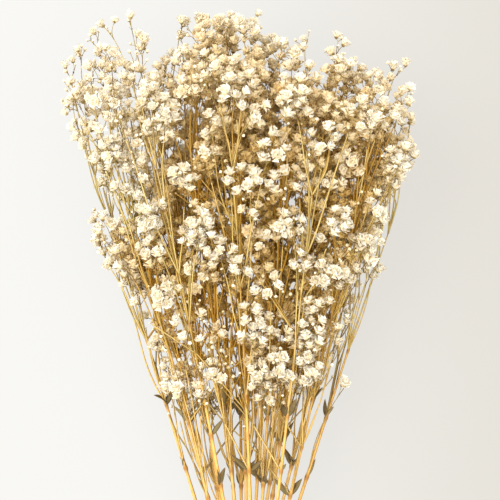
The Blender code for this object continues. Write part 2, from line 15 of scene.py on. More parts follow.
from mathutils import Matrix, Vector


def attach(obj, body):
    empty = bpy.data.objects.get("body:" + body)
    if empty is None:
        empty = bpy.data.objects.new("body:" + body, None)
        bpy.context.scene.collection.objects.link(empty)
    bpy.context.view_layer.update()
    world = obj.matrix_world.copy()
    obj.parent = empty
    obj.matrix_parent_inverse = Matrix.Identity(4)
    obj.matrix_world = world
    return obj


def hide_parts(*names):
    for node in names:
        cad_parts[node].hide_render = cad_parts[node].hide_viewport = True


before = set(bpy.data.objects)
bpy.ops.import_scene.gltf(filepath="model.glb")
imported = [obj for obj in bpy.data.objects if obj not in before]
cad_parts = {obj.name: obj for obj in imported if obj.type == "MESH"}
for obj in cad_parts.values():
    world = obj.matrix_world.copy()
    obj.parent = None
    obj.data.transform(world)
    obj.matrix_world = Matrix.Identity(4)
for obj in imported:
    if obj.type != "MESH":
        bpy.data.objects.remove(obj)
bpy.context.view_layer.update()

bl_info = {
    "name": "Dried gypsophila bunch",
    "version": (1, 0, 0),
    "blender": (4, 5, 0),
    "location": "3D View > Sidebar > Gypsophila",
    "description": "Stalks, blooms, leaves, twine and a studio for a tied bunch of dried gypsophila",
    "category": "Object",
}


# The bundle of stalks
STEM_PITCH = 0.0032
STEM_RADIUS = 0.00138
STEM_TOP_RADIUS = 0.0009
STEM_RADIUS_SPREAD = 0.00012
FAN_SLOPE = 0.30
CUT_END_Y = -0.072
CUT_END_SPREAD = 0.007
BOW = 0.010
FULL_HEIGHT_Y = 0.35
SPIRAL_START = math.radians(-86)

# The tie: turns of twine round the stalks
TWINE_RADIUS = 0.0010
TWINE_TURNS = 5
TWINE_PITCH = 0.0019
TIE_SIDES = 18
TIE_INNER_RADIUS = 0.0085
TIE_FLAT = 0.00025
TIE_OUTER_RADIUS = TIE_INNER_RADIUS + 2 * TWINE_RADIUS
TIE_CENTRE_Z = TIE_OUTER_RADIUS - TIE_FLAT
TIE_SPAN = 0.008
LIFT = TIE_CENTRE_Z - math.hypot(2 * STEM_PITCH, FAN_SLOPE * TIE_SPAN)

# How far the bunch sinks flat under its own weight
SAG_START_Y = 0.0
SAG_FULL_Y = 0.26
SAG_KEEP = 0.50

# Outline of the flower head seen from above
HEAD_OUTLINE = (
    (-0.057, 0.182),
    (-0.083, 0.266),
    (-0.106, 0.295),
    (-0.114, 0.314),
    (-0.110, 0.326),
    (-0.090, 0.333),
    (-0.092, 0.348),
    (-0.120, 0.375),
    (-0.135, 0.400),
    (-0.133, 0.430),
    (-0.117, 0.449),
    (-0.096, 0.458),
    (-0.064, 0.458),
    (-0.056, 0.447),
    (-0.049, 0.463),
    (-0.033, 0.474),
    (-0.005, 0.470),
    (0.020, 0.455),
    (0.070, 0.449),
    (0.080, 0.438),
    (0.113, 0.431),
    (0.124, 0.395),
    (0.121, 0.371),
    (0.102, 0.326),
    (0.081, 0.266),
    (0.062, 0.213),
    (0.030, 0.196),
    (-0.033, 0.200),
)
HEAD_TOP_Y = 0.46
DOME = 0.16
SPARSE_BELOW_Y = 0.270
SPARSE_HALF_WIDTH = 0.020
SPARSE_CENTRE_X = 0.025
SPARSE_KEEP = 0.30

# Blooms and the twigs that carry them
BLOOM_COUNT = 292
BLOOM_RADIUS = 0.0080
BLOOM_RADIUS_SPREAD = 0.0009
BLOOM_SPACING = 0.0180
BLOOM_TILT = 0.45
REST_SHARE = 0.68
TWIG_RADIUS = 0.00052
ROOT_REACH = 2.2
BRANCH_RADIUS = 0.00072
FIRST_NODE_Y = 0.135
NODE_STEP = 0.046
NODE_JITTER = 0.012
TOP_NODE_SHARE = 0.74
FORK_SHARE = 0.52
FORK_ANGLE = math.radians(24)

# Leaves, in pairs at the lower nodes
LEAF_LENGTH = 0.017
LEAF_HALF_WIDTH = 0.0019
LEAF_HALF_THICKNESS = 0.00042
LEAF_PAIRS = 18

# Clearance between one stem's solids and the next
GAP = 0.0004
SHORTEST_EDGE = 0.00025
RELAX_STEPS = 140
SEED = 11


def smoothstep(low, high, value):
    """0 below low, 1 above high and a smooth S between."""
    t = min(max((value - low) / (high - low), 0.0), 1.0)
    return t * t * (3 - 2 * t)


def bundle_radius(y):
    """Distance of the outermost stalk from the middle of the fan."""
    return math.hypot(2 * STEM_PITCH, FAN_SLOPE * y)


def sag(y):
    """Share of its round height that the lying bunch keeps."""
    return 1 - (1 - SAG_KEEP) * smoothstep(SAG_START_Y, SAG_FULL_Y, abs(y))


def tie_places():
    """Nineteen places in a hexagon, as complex numbers round the middle of the tie."""
    places = []
    for q in range(-2, 3):
        for r in range(-2, 3):
            if abs(q + r) <= 2:
                places.append(STEM_PITCH * complex(q + r / 2, r * math.sqrt(3) / 2))
    turn = complex(math.cos(SPIRAL_START), math.sin(SPIRAL_START))
    return [turn * place for place in places]


def stalk_point(place, bow, y):
    """Centre of a stalk at y: a straight ruling of the spiral, plus a slight bow, flattened by sag."""
    twist = complex(1, FAN_SLOPE * y / (2 * STEM_PITCH))
    across = place * twist + bow * (max(y, 0) / FULL_HEIGHT_Y) ** 2
    return np.array((across.real, y, LIFT + sag(y) * (bundle_radius(y) + across.imag)))


def outline_distance(x, y):
    """Signed distance to the head's outline, positive inside."""
    a = np.array(HEAD_OUTLINE)
    b = np.roll(a, -1, axis=0)
    p = np.array((x, y))
    along = np.clip(((p - a) * (b - a)).sum(1) / ((b - a) ** 2).sum(1), 0, 1)
    nearest = np.hypot(*(a + along[:, None] * (b - a) - p).T).min()
    rises = (a[:, 1] > y) != (b[:, 1] > y)
    with np.errstate(divide="ignore", invalid="ignore"):
        crossing = a[:, 0] + (y - a[:, 1]) / (b[:, 1] - a[:, 1]) * (b[:, 0] - a[:, 0])
    inside = np.count_nonzero(rises & (crossing > x)) % 2 == 1
    return nearest if inside else -nearest


def head_depth(point):
    """Distance inside the head, whose outline draws in above and below its middle plane."""
    x, y, z = point
    half = sag(y) * bundle_radius(y) + BLOOM_RADIUS
    off_middle = min(abs(z - LIFT - half) / half, 1)
    draw_in = 1 - DOME * off_middle**2
    return outline_distance(x / draw_in, y / draw_in)


def section_limits(x, y):
    """Lowest and highest z of the head at a place: flat where it lies, rounded on top."""
    share = min(abs(x) / (bundle_radius(y) * 1.25 + BLOOM_RADIUS), 1)
    height = 2 * sag(y) * bundle_radius(y) + 2 * BLOOM_RADIUS
    low = 0.5 * height * (1 - (1 - share**5) ** 0.2)
    high = 0.5 * height * (1 + math.sqrt(1 - share**2))
    return low, high


def grow_stalks(random):
    """Every stalk's place in the tie, bow, radius, cut end and the heights of its nodes."""
    stalks = []
    for place in tie_places():
        bow = BOW * complex(random.uniform(-1, 1), random.uniform(-1, 1))
        top = HEAD_TOP_Y
        while head_depth(stalk_point(place, bow, top)) < 0:
            top -= 0.005
        last = FIRST_NODE_Y + (top - FIRST_NODE_Y) * TOP_NODE_SHARE
        nodes, y = [], FIRST_NODE_Y + random.uniform(-1, 1) * NODE_JITTER
        while y < last - 0.4 * NODE_STEP:
            nodes.append(y)
            y += NODE_STEP + random.uniform(-1, 1) * NODE_JITTER
        nodes.append(last)
        stalks.append(
            {
                "place": place,
                "bow": bow,
                "radius": STEM_RADIUS + random.uniform(-1, 0) * STEM_RADIUS_SPREAD,
                "cut": CUT_END_Y + random.uniform(-1, 1) * CUT_END_SPREAD,
                "nodes": nodes,
            }
        )
    return stalks


def stalk_rows(stalk):
    """Heights along a stalk where its tube has a point."""
    return [stalk["cut"], -0.03, -TIE_SPAN, TIE_SPAN, 0.03, 0.06, 0.095] + stalk["nodes"]


def scatter_blooms(random, stalks):
    """Bloom centres through the head, no two closer than BLOOM_SPACING, each with its stalk."""
    low = np.array(HEAD_OUTLINE).min(0)
    high = np.array(HEAD_OUTLINE).max(0)
    lines = np.array(
        [[stalk_point(s["place"], s["bow"], y) for y in s["nodes"]] for s in pad_nodes(stalks)]
    )
    found = []
    for _ in range(60000):
        if len(found) == BLOOM_COUNT:
            break
        x = random.uniform(low[0], high[0])
        y = random.uniform(low[1], high[1])
        height = random.random()
        radius = BLOOM_RADIUS + random.uniform(-1, 1) * BLOOM_RADIUS_SPREAD
        keep = random.random()
        floor, ceiling = section_limits(x, y)
        above = max(1.06 * height - 0.06, 0) * max(ceiling - floor - 1.8 * radius, 0)
        z = floor + REST_SHARE * radius + above
        centre = np.array((x, y, z))
        edge = abs(x - SPARSE_CENTRE_X) > SPARSE_HALF_WIDTH + 0.25 * (y - 0.2)
        if y < SPARSE_BELOW_Y and edge and keep > SPARSE_KEEP:
            continue
        if head_depth(centre) < radius:
            continue
        if found and np.linalg.norm(np.array([f[0] for f in found]) - centre, axis=1).min() < BLOOM_SPACING:
            continue
        if segment_distances(centre, lines) < radius + STEM_RADIUS + GAP:
            continue
        found.append((centre, radius, nearest_stalk(random, centre, stalks)))
    return found


def pad_nodes(stalks):
    """The stalks with their node lists repeated to one length."""
    most = max(len(s["nodes"]) for s in stalks)
    return [dict(s, nodes=[s["nodes"][0] - 0.05] + s["nodes"] + s["nodes"][-1:] * (most - len(s["nodes"]))) for s in stalks]


def segment_distances(point, lines):
    """Least distance from a point to any of the polylines."""
    a, b = lines[:, :-1].reshape(-1, 3), lines[:, 1:].reshape(-1, 3)
    span = b - a
    size = np.maximum((span**2).sum(1), 1e-12)
    along = np.clip(((point - a) * span).sum(1) / size, 0, 1)
    return np.linalg.norm(a + along[:, None] * span - point, axis=1).min()


def nearest_stalk(random, centre, stalks):
    """The stalk whose fork, some way below the bloom, is nearest, with a little chance in it."""
    costs = []
    for stalk in stalks:
        below = min(max(centre[1] - 0.07, FIRST_NODE_Y), stalk["nodes"][-1])
        share = below / centre[1]
        fork = stalk_point(stalk["place"], stalk["bow"], below)
        aim = np.array((centre[0] * share, below, centre[2] * share))
        costs.append(np.linalg.norm(aim - fork) * random.uniform(0.75, 1.3))
    return int(np.argmin(costs))


class Skeleton:
    """Points joined by round members: the stalks, twigs, leaves and blooms of the whole bunch."""

    def __init__(self):
        self.points = []
        self.fixed = []
        self.floor = []
        self.members = []
        self.twigs = []
        self.leaves = []

    def add_point(self, place, fixed, floor):
        self.points.append(np.array(place, float))
        self.fixed.append(fixed)
        self.floor.append(floor)
        return len(self.points) - 1

    def add_member(self, a, b, radius, stem):
        self.members.append((a, b, radius, stem))


def split_by_direction(start, ends):
    """Two groups of ends, by which way they lie round their mean direction from start."""
    rays = np.array([e[0] - start for e in ends])
    rays /= np.linalg.norm(rays, axis=1)[:, None]
    spread = rays - rays.mean(0)
    axis = np.linalg.svd(spread)[2][0]
    side = spread @ axis > 0
    first = [e for e, s in zip(ends, side) if s]
    second = [e for e, s in zip(ends, side) if not s]
    return (first, second) if len(first) >= len(second) else (second, first)


def fork_out(skeleton, random, stem, trail, ends, level, root):
    """Carries a twig from the end of its trail to its blooms, forking on the way.

    root says what the trail starts in: the point that this comes from, and its radius.
    """
    start = skeleton.points[trail[-1]]
    radius = max(TWIG_RADIUS, BRANCH_RADIUS * 0.86**level)
    if len(ends) == 1:
        centre, bloom_radius, _ = ends[0]
        tip = skeleton.add_point(centre, False, REST_SHARE * bloom_radius)
        skeleton.add_member(trail[-1], tip, TWIG_RADIUS, stem)
        skeleton.add_member(tip, tip, bloom_radius, stem)
        twig = {"stem": stem, "trail": trail + [tip], "bloom": bloom_radius, "root": root}
        skeleton.twigs.append(twig)
        return
    middle = np.mean([e[0] for e in ends], axis=0)
    nearest = min(np.linalg.norm(e[0] - start) for e in ends)
    reach = middle - start
    length = np.linalg.norm(reach)
    share = min(FORK_SHARE * random.uniform(0.85, 1.15), 0.72 * nearest / length)
    fork = skeleton.add_point(start + share * reach, False, 2 * radius)
    skeleton.add_member(trail[-1], fork, radius, stem)
    main, side = split_by_direction(skeleton.points[fork], ends)
    fork_out(skeleton, random, stem, trail + [fork], main, level + 1, root)
    if side:
        fork_out(skeleton, random, stem, [fork], side, level + 1, (trail[-1], radius))


def grow_stem(skeleton, random, stem, stalk, blooms):
    """Adds one stalk with its nodes, and shares its blooms out among them."""
    rows = stalk_rows(stalk)
    indices = []
    for y in rows:
        place = stalk_point(stalk["place"], stalk["bow"], y)
        indices.append(skeleton.add_point(place, True, 0))
        if len(indices) > 1:
            skeleton.add_member(indices[-2], indices[-1], stalk["radius"], stem)
    nodes = indices[-len(stalk["nodes"]) :]
    groups = {index: [] for index in nodes}
    for bloom in blooms:
        centre = bloom[0]
        beside = stalk_point(stalk["place"], stalk["bow"], min(centre[1], stalk["nodes"][-1]))
        sideways = math.hypot(centre[0] - beside[0], centre[2] - beside[2])
        wanted = centre[1] - 0.012 - sideways / math.tan(FORK_ANGLE)
        below = [i for i, y in zip(nodes, stalk["nodes"]) if y <= wanted]
        groups[below[-1] if below else nodes[0]].append(bloom)
    for index in nodes:
        if not groups[index]:
            continue
        root = (index - 1, stalk_radius(stalk, skeleton.points[index][1]))
        for half in split_by_direction(skeleton.points[index], groups[index]):
            if half:
                fork_out(skeleton, random, stem, [index], half, 1, root)
    return nodes


def add_leaf_pairs(skeleton, random, stem, node):
    """Two leaves facing each other across a node, pointing up and out."""
    turn = random.uniform(0, math.pi)
    for side in (0, math.pi):
        lean = random.uniform(0.55, 0.95)
        length = LEAF_LENGTH * random.uniform(0.7, 1.15)
        out = np.array((math.cos(turn + side), 0, math.sin(turn + side)))
        tip = skeleton.points[node] + length * (out * math.sin(lean) + np.array((0, math.cos(lean), 0)))
        end = skeleton.add_point(tip, False, 0.002)
        skeleton.add_member(node, end, LEAF_HALF_WIDTH, stem)
        skeleton.leaves.append({"stem": stem, "root": node, "tip": end, "length": length})


def closest_between(p1, q1, p2, q2):
    """Shares along each of two sets of segments where they come closest, and the vector between."""
    d1, d2, r = q1 - p1, q2 - p2, p1 - p2
    a = np.maximum((d1 * d1).sum(1), 1e-14)
    e = np.maximum((d2 * d2).sum(1), 1e-14)
    b, c, f = (d1 * d2).sum(1), (d1 * r).sum(1), (d2 * r).sum(1)
    spread = np.maximum(a * e - b * b, 1e-18)
    s = np.clip((b * f - c * e) / spread, 0, 1)
    t = np.clip((b * s + f) / e, 0, 1)
    s = np.clip((b * t - c) / a, 0, 1)
    return s, t, (p1 + s[:, None] * d1) - (p2 + t[:, None] * d2)


def bend_clear(skeleton):
    """Moves the free points until members that share no point keep GAP between them.

    Each step finds the pairs that are too close and pushes both members apart along the line
    between their nearest places, each end taking its share. Returns the pairs still too close.
    """
    points = np.array(skeleton.points)
    free = ~np.array(skeleton.fixed)
    floor = np.array(skeleton.floor)
    a, b = (np.array([m[k] for m in skeleton.members]) for k in (0, 1))
    radius = np.array([m[2] for m in skeleton.members])
    stem = np.array([m[3] for m in skeleton.members])
    i, j = np.triu_indices(len(a), 1)
    apart = (a[i] != a[j]) & (a[i] != b[j]) & (b[i] != a[j]) & (b[i] != b[j])
    loose = free[a[i]] | free[b[i]] | free[a[j]] | free[b[j]]
    i, j = i[apart & loose], j[apart & loose]
    foreign = stem[i] != stem[j]
    for step in range(RELAX_STEPS):
        if step % 10 == 0:
            middle = (points[a] + points[b]) / 2
            size = np.linalg.norm(points[a] - points[b], axis=1) / 2 + radius
            distance = np.linalg.norm(middle[i] - middle[j], axis=1)
            near = distance < size[i] + size[j] + 0.012
            ni, nj, nforeign = i[near], j[near], foreign[near]
        s, t, gap = closest_between(points[a[ni]], points[b[ni]], points[a[nj]], points[b[nj]])
        length = np.maximum(np.linalg.norm(gap, axis=1), 1e-7)
        lack = radius[ni] + radius[nj] + 1.5 * GAP - length
        bad = lack > 0
        if not bad.any():
            break
        push = gap[bad] / length[bad, None] * (lack[bad, None] * 0.55)
        move = np.zeros_like(points)
        for index, share, sign in (
            (a[ni][bad], 1 - s[bad], 1),
            (b[ni][bad], s[bad], 1),
            (a[nj][bad], 1 - t[bad], -1),
            (b[nj][bad], t[bad], -1),
        ):
            np.add.at(move, index, sign * push * share[:, None])
        points[free] += move[free]
        points[free, 2] = np.maximum(points[free, 2], floor[free])
    skeleton.points = list(points)
    s, t, gap = closest_between(points[a[i]], points[b[i]], points[a[j]], points[b[j]])
    short = (np.linalg.norm(gap, axis=1) < radius[i] + radius[j] + GAP) & foreign
    return [(int(x), int(y)) for x, y in zip(i[short], j[short])]


def drop_crossing(skeleton, crossing):
    """Leaves out the twigs and leaves that still cross another stem."""
    for i, j in crossing:
        for member in (skeleton.members[j], skeleton.members[i]):
            tips = {member[0], member[1]}
            held = [w for w in skeleton.twigs if tips & set(w["trail"][1:])]
            blades = [v for v in skeleton.leaves if v["tip"] in tips]
            if held or blades:
                skeleton.twigs = [w for w in skeleton.twigs if w not in held]
                skeleton.leaves = [v for v in skeleton.leaves if v not in blades]
                break


def grow_bunch():
    """The whole skeleton: stalks, their blooms and leaves, bent clear of each other."""
    random = Random(SEED)
    stalks = grow_stalks(random)
    blooms = scatter_blooms(random, stalks)
    skeleton = Skeleton()
    nodes = []
    for stem, stalk in enumerate(stalks):
        own = [bloom for bloom in blooms if bloom[2] == stem]
        nodes.append(grow_stem(skeleton, random, stem, stalk, own))
    for pair in range(LEAF_PAIRS):
        stem = pair % len(stalks)
        add_leaf_pairs(skeleton, random, stem, nodes[stem][random.randint(0, 1)])
    crossing = bend_clear(skeleton)
    drop_crossing(skeleton, crossing)
    return stalks, skeleton


def stalk_radius(stalk, y):
    """A stalk thins steadily from the tie to the top of the head."""
    thinning = min(max(y / FULL_HEIGHT_Y, 0), 1)
    return stalk["radius"] + thinning * (STEM_TOP_RADIUS - stalk["radius"])


# Fine growth: sprays of blooms at each tuft, and more sprays on thin shoots between them
HEAD_LOW = np.array((-0.1262, 0.1, 0.0045))
HEAD_HIGH = np.array((0.1154, 0.4655, 0.1300))
BLOOM_LIMITS = (0.0031, 0.0053)
BLOOMS_PER_TUFT = (4, 11)
BUDS_PER_TUFT = (2, 4)
TUFT_REACH = 0.0112
BLOOM_APART = 0.0064
SPRAY_BACK = 0.021
SHOOT_COUNT = 300
SHOOT_APART = 0.0105
BLOOMS_PER_SHOOT = (0, 7)
SHOOT_REACH = 0.0085
PEDICEL_RADIUS = 0.00022
SPRAY_RADIUS = 0.00036
TWIG_END_RADIUS = 0.00040
TWIG_START_RADIUS = 0.00070
TOP_THINNING = 0.54
NODE_SWELL = 0.45
NODE_LENGTH = 0.0021
EDGE_MARGIN = 0.0035
BRACT_CHANCE = 0.3
WISP_COUNT = 46
WISP_RADIUS = 0.00072
WISP_LEAN = 0.62
WISP_FORK = math.radians(13)
WISP_TOP_Y = 0.34

# Lone flowers that stand off the head at its lower sides: x, y, height and number of blooms
STRAYS = (
    (0.0745, 0.2510, 0.045, 2),
    (0.0690, 0.2060, 0.040, 1),
    (0.0890, 0.2880, 0.050, 3),
    (0.0640, 0.2380, 0.060, 1),
    (0.0975, 0.3240, 0.055, 2),
    (-0.0625, 0.2350, 0.050, 5),
    (-0.0560, 0.2180, 0.045, 4),
    (-0.0410, 0.1880, 0.040, 2),
    (-0.0500, 0.2030, 0.060, 3),
    (-0.0300, 0.1990, 0.070, 2),
    (-0.0800, 0.2700, 0.050, 3),
    (-0.1255, 0.4300, 0.075, 2),
    (-0.1245, 0.4080, 0.080, 2),
    (-0.1180, 0.4420, 0.070, 2),
    (-0.1080, 0.4520, 0.055, 1),
    (-0.0960, 0.4590, 0.065, 2),
    (-0.0830, 0.4620, 0.060, 1),
    (-0.0450, 0.4650, 0.070, 2),
    (-0.0300, 0.4650, 0.070, 2),
    (0.0060, 0.4630, 0.075, 2),
    (0.0380, 0.4530, 0.070, 1),
    (0.0650, 0.4480, 0.060, 2),
    (0.1060, 0.4330, 0.070, 2),
    (0.1165, 0.3950, 0.060, 1),
    (-0.1100, 0.3080, 0.050, 2),
    (-0.1090, 0.3230, 0.045, 2),
)


def unit(vectors):
    """Vectors scaled to length one along the last axis."""
    return vectors / np.maximum(np.linalg.norm(vectors, axis=-1, keepdims=True), 1e-12)


def smooth_path(points, count):
    """A path of count points through the given ones.

    Between neighbours it is a cubic Hermite piece whose end slopes are those of the chords on
    either side, with the distance along the chords as its parameter.
    """
    points = np.asarray(points, float)
    at = np.concatenate(([0.0], np.cumsum(np.linalg.norm(np.diff(points, axis=0), axis=1))))
    slopes = np.gradient(points, at, axis=0)
    wanted = np.linspace(0, at[-1], count)
    k = np.clip(np.searchsorted(at, wanted, side="right") - 1, 0, len(points) - 2)
    span = (at[k + 1] - at[k])[:, None]
    t = (wanted - at[k])[:, None] / span
    start = (2 * t**3 - 3 * t**2 + 1) * points[k] + (t**3 - 2 * t**2 + t) * span * slopes[k]
    return start + (3 * t**2 - 2 * t**3) * points[k + 1] + (t**3 - t**2) * span * slopes[k + 1]


def bend_path(start, heading, end, count):
    """A quadratic arc from start, leaving along heading, to end: (1-t)^2 A + 2t(1-t) B + t^2 C."""
    knee = start + heading * (0.45 * np.linalg.norm(end - start))
    t = np.linspace(0, 1, count)[:, None]
    return (1 - t) ** 2 * start + 2 * t * (1 - t) * knee + t**2 * end


class Spray:
    """What grows on one stem besides its stalk: tubes, blooms, buds and small bracts."""

    def __init__(self):
        self.tubes = []
        self.tube_radii = []
        self.blooms = []
        self.buds = []
        self.bracts = []
        self.line_depths = []

    def add_tube(self, path, first, last):
        self.tubes.append(path)
        self.tube_radii.append(np.linspace(first, last, len(path)))


def paleness(place):
    """1 for the fresh ivory blooms in the middle and lower right, 0 for the tan ones at the rim."""
    x, y = place[0] - 0.005, place[1] - 0.295
    across = math.hypot(x / 0.160, y / (0.170 if y > 0 else 0.19))
    return 1 - smoothstep(0.60, 1.25, across)


def clumping(place):
    """How thickly the blooms stand at a place, 0 to 1: two crossed waves some 35 mm long."""
    x, y, z = place
    waves = math.sin(190 * x + 70 * z + 0.7) + math.sin(165 * y + 50 * x + 2.1)
    return min(max(0.5 + 0.32 * waves, 0.0), 1.0)


def at_sparse_side(place):
    """Whether a place is low in the head and off to a side, where few blooms stand."""
    aside = abs(place[0] - SPARSE_CENTRE_X) > SPARSE_HALF_WIDTH + 0.25 * (place[1] - 0.2)
    return place[1] < SPARSE_BELOW_Y and aside


def airiness(place):
    """1 in the loose upper left of the head, 0 in its dense middle and right."""
    return smoothstep(-0.035, -0.085, place[0]) * smoothstep(0.30, 0.34, place[1])


def inwardness(place):
    """0 for what lies at the outside of the head, 1 for what lies 30 mm or more inside it, less in the loose upper
    left and near the top: the share of painted shade deep in the head.
    """
    x, y, z = place
    floor, ceiling = section_limits(x, y)
    depth = min(z - floor + 0.006, ceiling - z, max(head_depth(place), 0) + 0.006)
    fading = smoothstep(0.34, 0.44, y)
    return smoothstep(0.008, 0.034, depth) * (1 - 0.75 * airiness(place)) * (1 - 0.45 * fading)


def tuft_places(random, centre, count, apart, reach):
    """Places round a tuft's centre, inside the head and above the table, kept apart."""
    found = []
    for attempt in range(count * 30):
        if len(found) == count:
            break
        step = np.array([random.gauss(0, 1) for _ in range(3)])
        step *= reach * random.random() ** 0.4 / max(np.linalg.norm(step), 1e-9)
        place = centre + step
        place = np.clip(place, HEAD_LOW, HEAD_HIGH)
        near = apart * (1 - 0.4 * attempt / (count * 30))
        if head_depth(place) < EDGE_MARGIN and attempt < count * 20:
            continue
        if all(np.linalg.norm(place - other) > near for other in found):
            found.append(place)
    return found


def grow_spray(spray, random, start, heading, ends, radius):
    """Forks from start until every end has its own hair-thin stalk."""
    if len(ends) == 1:
        spray.add_tube(bend_path(start, heading, ends[0], 4), radius, PEDICEL_RADIUS)
        return
    middle = np.mean(ends, axis=0)
    nearest = min(np.linalg.norm(end - start) for end in ends)
    length = max(np.linalg.norm(middle - start), 1e-6)
    share = min(random.uniform(0.35, 0.6), 0.75 * nearest / length)
    fork = start + share * (middle - start)
    path = bend_path(start, heading, fork, 4)
    thinner = max(radius * 0.86, PEDICEL_RADIUS)
    spray.add_tube(path, radius, thinner)
    onward = unit(path[-1] - path[-2])
    if random.random() < BRACT_CHANCE:
        spray.bracts.append((fork, onward, random.uniform(0, math.pi)))
    ends = [(np.asarray(end), 0, 0) for end in ends]
    for half in split_by_direction(fork, ends):
        if half:
            grow_spray(spray, random, fork, onward, [end[0] for end in half], thinner)


def dress_twig(spray, random, points, root, blooms, reach):
    """A smooth twig through its points, the last of which is the middle of a spray of blooms."""
    centre = points[-1]
    last = centre - points[-2]
    base = centre - min(SPRAY_BACK, 0.72 * np.linalg.norm(last)) * unit(last)
    line = smooth_path(points[:-1] + [base], 4 + 4 * len(points))
    wave = np.linspace(0, 1, len(line))
    sway = np.array([random.uniform(-1, 1), 0, random.uniform(-1, 1)]) * 0.0007
    bend = np.sin(math.pi * wave) * np.sin(2 * math.pi * wave + random.uniform(0, 6))
    aside = (points[-1] - points[0]) * (1, 0, 1)
    aside = aside / max(np.linalg.norm(aside), 1e-6) * random.uniform(0.02, 0.07) * np.linalg.norm(base - points[0])
    line = line + sway * bend[:, None] + aside * (np.sin(math.pi * wave) * (1 - wave) ** 1.5)[:, None]
    line[:, 2] = np.maximum(line[:, 2], 0.001)
    spray.add_tube(line, min(TWIG_START_RADIUS, 0.8 * root), TWIG_END_RADIUS)
    pale = paleness(centre)
    spray.line_depths.append((len(spray.tubes) - 1, inwardness(centre)))
    reach = reach * random.uniform(0.85, 1.15)
    wanted = blooms[0] + (blooms[1] - blooms[0]) * clumping(centre) + random.uniform(-1, 1)
    count = min(max(round(wanted - 2.5 * airiness(centre)), blooms[0]), blooms[1])
    places = tuft_places(random, centre, count, BLOOM_APART, reach)
    buds = tuft_places(random, centre, random.randint(*BUDS_PER_TUFT), 0.004, reach * 1.15)
    ends = []
    for place in places:
        share = 0.25 * pale + 0.75 * random.random()
        radius = BLOOM_LIMITS[0] + (BLOOM_LIMITS[1] - BLOOM_LIMITS[0]) * share
        tilt = np.array([random.uniform(-1, 1) for _ in range(3)])
        axis = unit(unit(place - base) + 0.55 * tilt)
        openness = random.uniform(0.7, 1.0) * (0.8 + 0.2 * pale)
        age = min(max(0.9 * (1 - pale) + random.gauss(0.05, 0.16), 0), 1)
        if random.random() < 0.07:
            age = min(age + 0.5, 1)
        spray.blooms.append((place, axis, radius, openness, age, inwardness(place)))
        ends.append(place - 0.6 * radius * axis)
    for place in buds:
        tilt = np.array([random.uniform(-1, 1) for _ in range(3)])
        axis = unit(unit(place - base) + 0.4 * tilt)
        radius = random.uniform(0.0010, 0.0017)
        spray.buds.append((place, axis, radius, random.uniform(0.3, 1.0), inwardness(place)))
        ends.append(place - 0.8 * radius * axis)
    if ends:
        grow_spray(spray, random, base, unit(line[-1] - line[-2]), ends, SPRAY_RADIUS)


def shoot_places(random, stalks, skeleton):
    """Middles of more sprays, in the gaps between the tufts, each with its stalk."""
    taken = [skeleton.points[twig["trail"][-1]] for twig in skeleton.twigs]
    low = np.array(HEAD_OUTLINE).min(0)
    high = np.array(HEAD_OUTLINE).max(0)
    found = []
    for _ in range(30000):
        if len(found) == SHOOT_COUNT:
            break
        x, y = random.uniform(low[0], high[0]), random.uniform(low[1], high[1])
        share = random.random()
        floor, ceiling = section_limits(x, y)
        centre = np.array((x, y, floor + 0.006 + share * max(ceiling - floor - 0.014, 0)))
        if head_depth(centre) < 0.009 or random.random() < 0.75 * airiness(centre):
            continue
        if np.linalg.norm(np.array(taken) - centre, axis=1).min() < SHOOT_APART:
            continue
        taken.append(centre)
        found.append((centre, nearest_stalk(random, centre, stalks)))
    return found


def shoot_points(random, stalk, centre):
    """A thin shoot from the stalk's node some way below, out and up to its spray."""
    wanted = centre[1] - random.uniform(0.035, 0.080)
    below = [y for y in stalk["nodes"] if y <= wanted]
    foot = below[-1] if below else max(wanted, 0.06)
    start = stalk_point(stalk["place"], stalk["bow"], foot)
    beside = stalk_point(stalk["place"], stalk["bow"], foot + 0.45 * (centre[1] - foot))
    middle = beside + random.uniform(0.6, 1.2) * (start + 0.45 * (centre - start) - beside)
    middle = middle + 0.0035 * np.array([random.uniform(-1, 1) for _ in range(3)])
    return [start, middle, centre]


def grow_wisp(spray, random, start, heading, length, radius, forks):
    """A bare thin twig that forks in a narrow V as often as it is told, with a bud at each end."""
    end = start + length * heading
    limit = 0.96 * bundle_radius(end[1]) + 0.002
    end[0] = min(max(end[0], -limit), limit)
    low, high = section_limits(end[0], end[1])
    end[2] = min(max(end[2], low + 0.002), high - 0.004)
    forks = 0 if end[1] > WISP_TOP_Y else forks
    path = bend_path(start, heading, end, 6)
    thinner = max(0.78 * radius, PEDICEL_RADIUS)
    spray.add_tube(path, radius, thinner)
    onward = unit(path[-1] - path[-2])
    if not forks:
        size = random.uniform(0.0008, 0.0016)
        spray.buds.append((end + size * onward, onward, size, random.uniform(0.4, 1.0), inwardness(end)))
        return
    turn = random.uniform(0.6, 1.3) * WISP_FORK
    for side in (1, -1):
        c, s = math.cos(side * turn), math.sin(side * turn)
        x, y, z = onward
        aside = unit(np.array((c * x - s * y, s * x + c * y, z + random.uniform(-0.15, 0.15))))
        share = random.uniform(0.55, 1.0)
        grow_wisp(spray, random, end, aside, share * length, thinner, forks - (random.random() < 0.75))


def grow_wisps(sprays, stalks):
    """Wisps from the joints and the lengths between them in the lower half of the bunch."""
    random = Random(31)
    for _ in range(WISP_COUNT):
        stem = random.randrange(len(stalks))
        stalk = stalks[stem]
        foot = random.choice([y for y in stalk["nodes"] if y < 0.27])
        foot += random.choice((0, 0, random.uniform(0, 0.03)))
        start = stalk_point(stalk["place"], stalk["bow"], foot)
        inward = -0.5 * start[0] / bundle_radius(foot)
        lean = random.choice((-1, 1)) * WISP_LEAN * random.uniform(0.4, 1) + 0.35 * inward
        heading = unit(np.array((lean, 1, random.uniform(-0.10, 0.22))))
        length = random.uniform(0.026, 0.058)
        grow_wisp(sprays[stem], random, start, heading, length, WISP_RADIUS, random.choice((1, 1, 2)))


